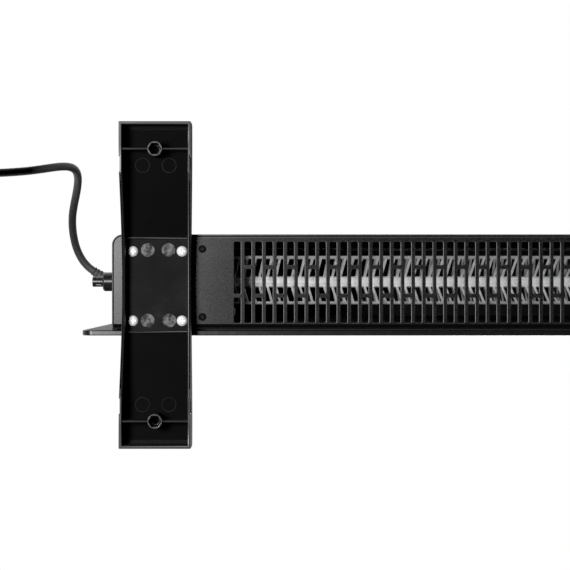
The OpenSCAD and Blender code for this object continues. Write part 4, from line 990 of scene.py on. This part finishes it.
plugSettings = {
    "place": (179.0, -29.0, 6.95), "tilt": 17.35, "sides": 96, "crisp": 35, "weld": 1e-7,
    "flutes": 14, "fluteDepth": 0.45, "fluteFrom": 14, "fluteTo": 34,
    "clipHalf": 0.17, "clipDepth": 1.6, "clipFrom": 36, "face": 18.5,
    "profile": [(0, 0), (0, 3.6), (0.6, 4.2), (3, 4.3), (6, 4.6), (9, 4.9), (11.4, 5.4), (12, 6.2),
                (12.2, 10.4), (12.8, 11), (15, 11.6), (18, 12), (22, 12.6), (26, 13.2), (28, 13.6),
                (31, 15), (33.5, 16.3), (35, 17), (35.6, 17.8), (36.3, 18.3), (37, 18.5), (40, 18.5),
                (44, 18.5), (44.7, 18.3), (45.3, 17.9), (46, 17), (46, 0)],
}


def plugRadius(along, radius, a):
    # The grip is fluted, and each side of the face has a notch
    p = plugSettings
    start, length = p["fluteFrom"], p["fluteTo"] - p["fluteFrom"]
    if start < along < p["fluteTo"]:
        depth = p["fluteDepth"] * (0.5 + 0.5 * math.cos(p["flutes"] * a))
        return radius - depth * math.sin(math.pi * (along - start) / length)
    turn = abs((a - math.pi / 2) % math.pi)
    if along > p["clipFrom"] and min(turn, math.pi - turn) < p["clipHalf"]:
        return min(radius, p["face"] - p["clipDepth"])
    return radius


def makePlug():
    p = plugSettings
    place = besideCasing([p["place"]])[0]
    tilt, sides = math.radians(p["tilt"]), p["sides"]
    axis = Vector((0, -math.cos(tilt), math.sin(tilt)))
    side = Vector((1, 0, 0))
    around = circle(side, axis.cross(side), sides)
    verts, faces, rings = [], [], []
    for along, radius in p["profile"]:
        rings.append(list(range(len(verts), len(verts) + sides)))
        for j, out in enumerate(around):
            r = plugRadius(along, radius, 2 * math.pi * j / sides)
            verts.append(place + (axis * along + out * r) * mm)
    joinRings(rings, faces)
    return markCorners(weldMesh(meshFrom("plugBody", verts, faces), p["weld"]), p["crisp"])


plugBody = linkMesh("plugBody", makePlug(), "heater", "plug_rubber", ["mains_plug"])
print("strain relief, strap and plug made")

# Wires inside, rounded
wireSettings = {"levels": 2, "fill": 0.12}


def roundedWire(nodeName):
    node = nodes[nodeName]
    mesh = closeWork(openNode(node), bpy.data.meshes.new(nodeName))
    for face in mesh.polygons:
        face.use_smooth = True
    piece = linkMesh(nodeName + ".rounded", mesh, node["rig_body"], slotOf[nodeName], [nodeName])
    smoother = piece.modifiers.new("rounded", "SUBSURF")
    smoother.levels = smoother.render_levels = wireSettings["levels"]
    fuller = piece.modifiers.new("fuller", "DISPLACE")
    fuller.mid_level = 0
    fuller.strength = wireSettings["fill"] * mm


for nodeName in ("lead_wires", "control_wires", "element_wires"):
    roundedWire(nodeName)

# Every carried-over CAD node takes its slot's finish
for name, node in nodes.items():
    node.data.materials.clear()
    node.data.materials.append(finishes[slotOf[name]])

# Floor, world and lamps
stageSettings = {
    "floorSize": 30.0, "floorColour": (0.86, 0.86, 0.86), "worldDiffuse": 0.45,
    # The dark patch around the heater is a painted shadow
    "paintedShadow": [(0.44, 0.6), (0.12, 0.26)], "paintedShadowColour": (0.02, 0.02, 0.02),
    "window": [(0.412, 0.436), (0.13, 0.15)],
    "lamps": [  # name, kind, place, aim, size in metres or degrees, power
        ("highSun", "SUN", (-0.55, -0.8, 1.6), (0.0, 0.0, 0.0), 22.0, 2.35),
        ("underKey", "AREA", (0.7, 0.1, -1.0), (0.35, 0.0, 0.0), 0.34, 16.5),
        ("frontSoft", "AREA", (-0.9, -1.9, 1.9), (0.0, 0.0, 0.2), 1.6, 9.0),
        ("rearSoft", "AREA", (1.1, 1.6, 1.7), (0.0, 0.0, 0.2), 1.4, 6.0),
    ],
}


def makeFloor():
    # Seen from below the floor is clear, and the lamp below shines through its window only. Around the
    # heater a painted shadow makes it dark for all rays but the camera's, so that it throws little light up
    # into the foot.
    s = stageSettings
    half = s["floorSize"] / 2
    mesh = meshFrom("paleFloor", [(-half, -half, 0), (half, -half, 0), (half, half, 0), (-half, half, 0)],
                    [(0, 1, 2, 3)], smooth=False)
    floor = bpy.data.objects.new("paleFloor", mesh)
    scene.collection.objects.link(floor)
    paper = bpy.data.materials.new("paleFloorPaper")
    paper.use_nodes = True
    tree = paper.node_tree
    tree.nodes.remove(tree.nodes["Principled BSDF"])
    matt = tree.nodes.new("ShaderNodeBsdfDiffuse")
    place = tree.nodes.new("ShaderNodeSeparateXYZ")
    tree.links.new(tree.nodes.new("ShaderNodeTexCoord").outputs["Object"], place.inputs[0])
    path = tree.nodes.new("ShaderNodeLightPath").outputs

    def inside(limits):
        # One near the middle, falling to nought between each pair of distances in x and y
        away = [mathNode(tree, "ABSOLUTE", place.outputs[axis], 0.0) for axis in (0, 1)]
        near = [spreadValue(tree, value, 1.0, 0.0, *ends) for value, ends in zip(away, limits)]
        return mathNode(tree, "MULTIPLY", *near)

    unseen = mathNode(tree, "SUBTRACT", 1.0, path["Is Camera Ray"])
    # Painted shadow around the heater, for all rays but the camera's
    shade = mathNode(tree, "MULTIPLY", inside(s["paintedShadow"]), unseen)
    tree.links.new(mixColour(tree, shade, s["floorColour"], s["paintedShadowColour"]), matt.inputs["Color"])
    below = tree.nodes.new("ShaderNodeNewGeometry").outputs["Backfacing"]
    lit = mathNode(tree, "MULTIPLY", inside(s["window"]), path["Is Shadow Ray"])
    mix = tree.nodes.new("ShaderNodeMixShader")
    tree.links.new(mathNode(tree, "MAXIMUM", lit, below), mix.inputs[0])
    tree.links.new(matt.outputs[0], mix.inputs[1])
    tree.links.new(tree.nodes.new("ShaderNodeBsdfTransparent").outputs[0], mix.inputs[2])
    tree.links.new(mix.outputs[0], tree.nodes["Material Output"].inputs["Surface"])
    mesh.materials.append(paper)


def makeWorld():
    world = bpy.data.worlds.new("paleStudio")
    scene.world = world
    world.use_nodes = True
    tree = world.node_tree
    path = tree.nodes.new("ShaderNodeLightPath")
    seen = mathNode(tree, "MAXIMUM", path.outputs["Is Camera Ray"], path.outputs["Is Glossy Ray"])
    seen = mathNode(tree, "MAXIMUM", seen, path.outputs["Is Transmission Ray"])
    strength = spreadValue(tree, seen, stageSettings["worldDiffuse"], 1.0, 0.0, 1.0)
    ground = tree.nodes["Background"]
    ground.inputs["Color"].default_value = (1.0, 1.0, 1.0, 1.0)
    tree.links.new(strength, ground.inputs["Strength"])


def makeLamp(name, kind, place, aim, size, power):
    data = bpy.data.lights.new(name, kind)
    data.energy = power
    if kind == "SUN":
        data.angle = math.radians(size)
    else:
        data.shape = "DISK"
        data.size = size
    lamp = bpy.data.objects.new(name, data)
    lamp.location = place
    lamp.rotation_euler = (Vector(aim) - Vector(place)).to_track_quat("-Z", "Y").to_euler()
    scene.collection.objects.link(lamp)


makeFloor()
makeWorld()
for lampSettings in stageSettings["lamps"]:
    makeLamp(*lampSettings)
print("stage made")
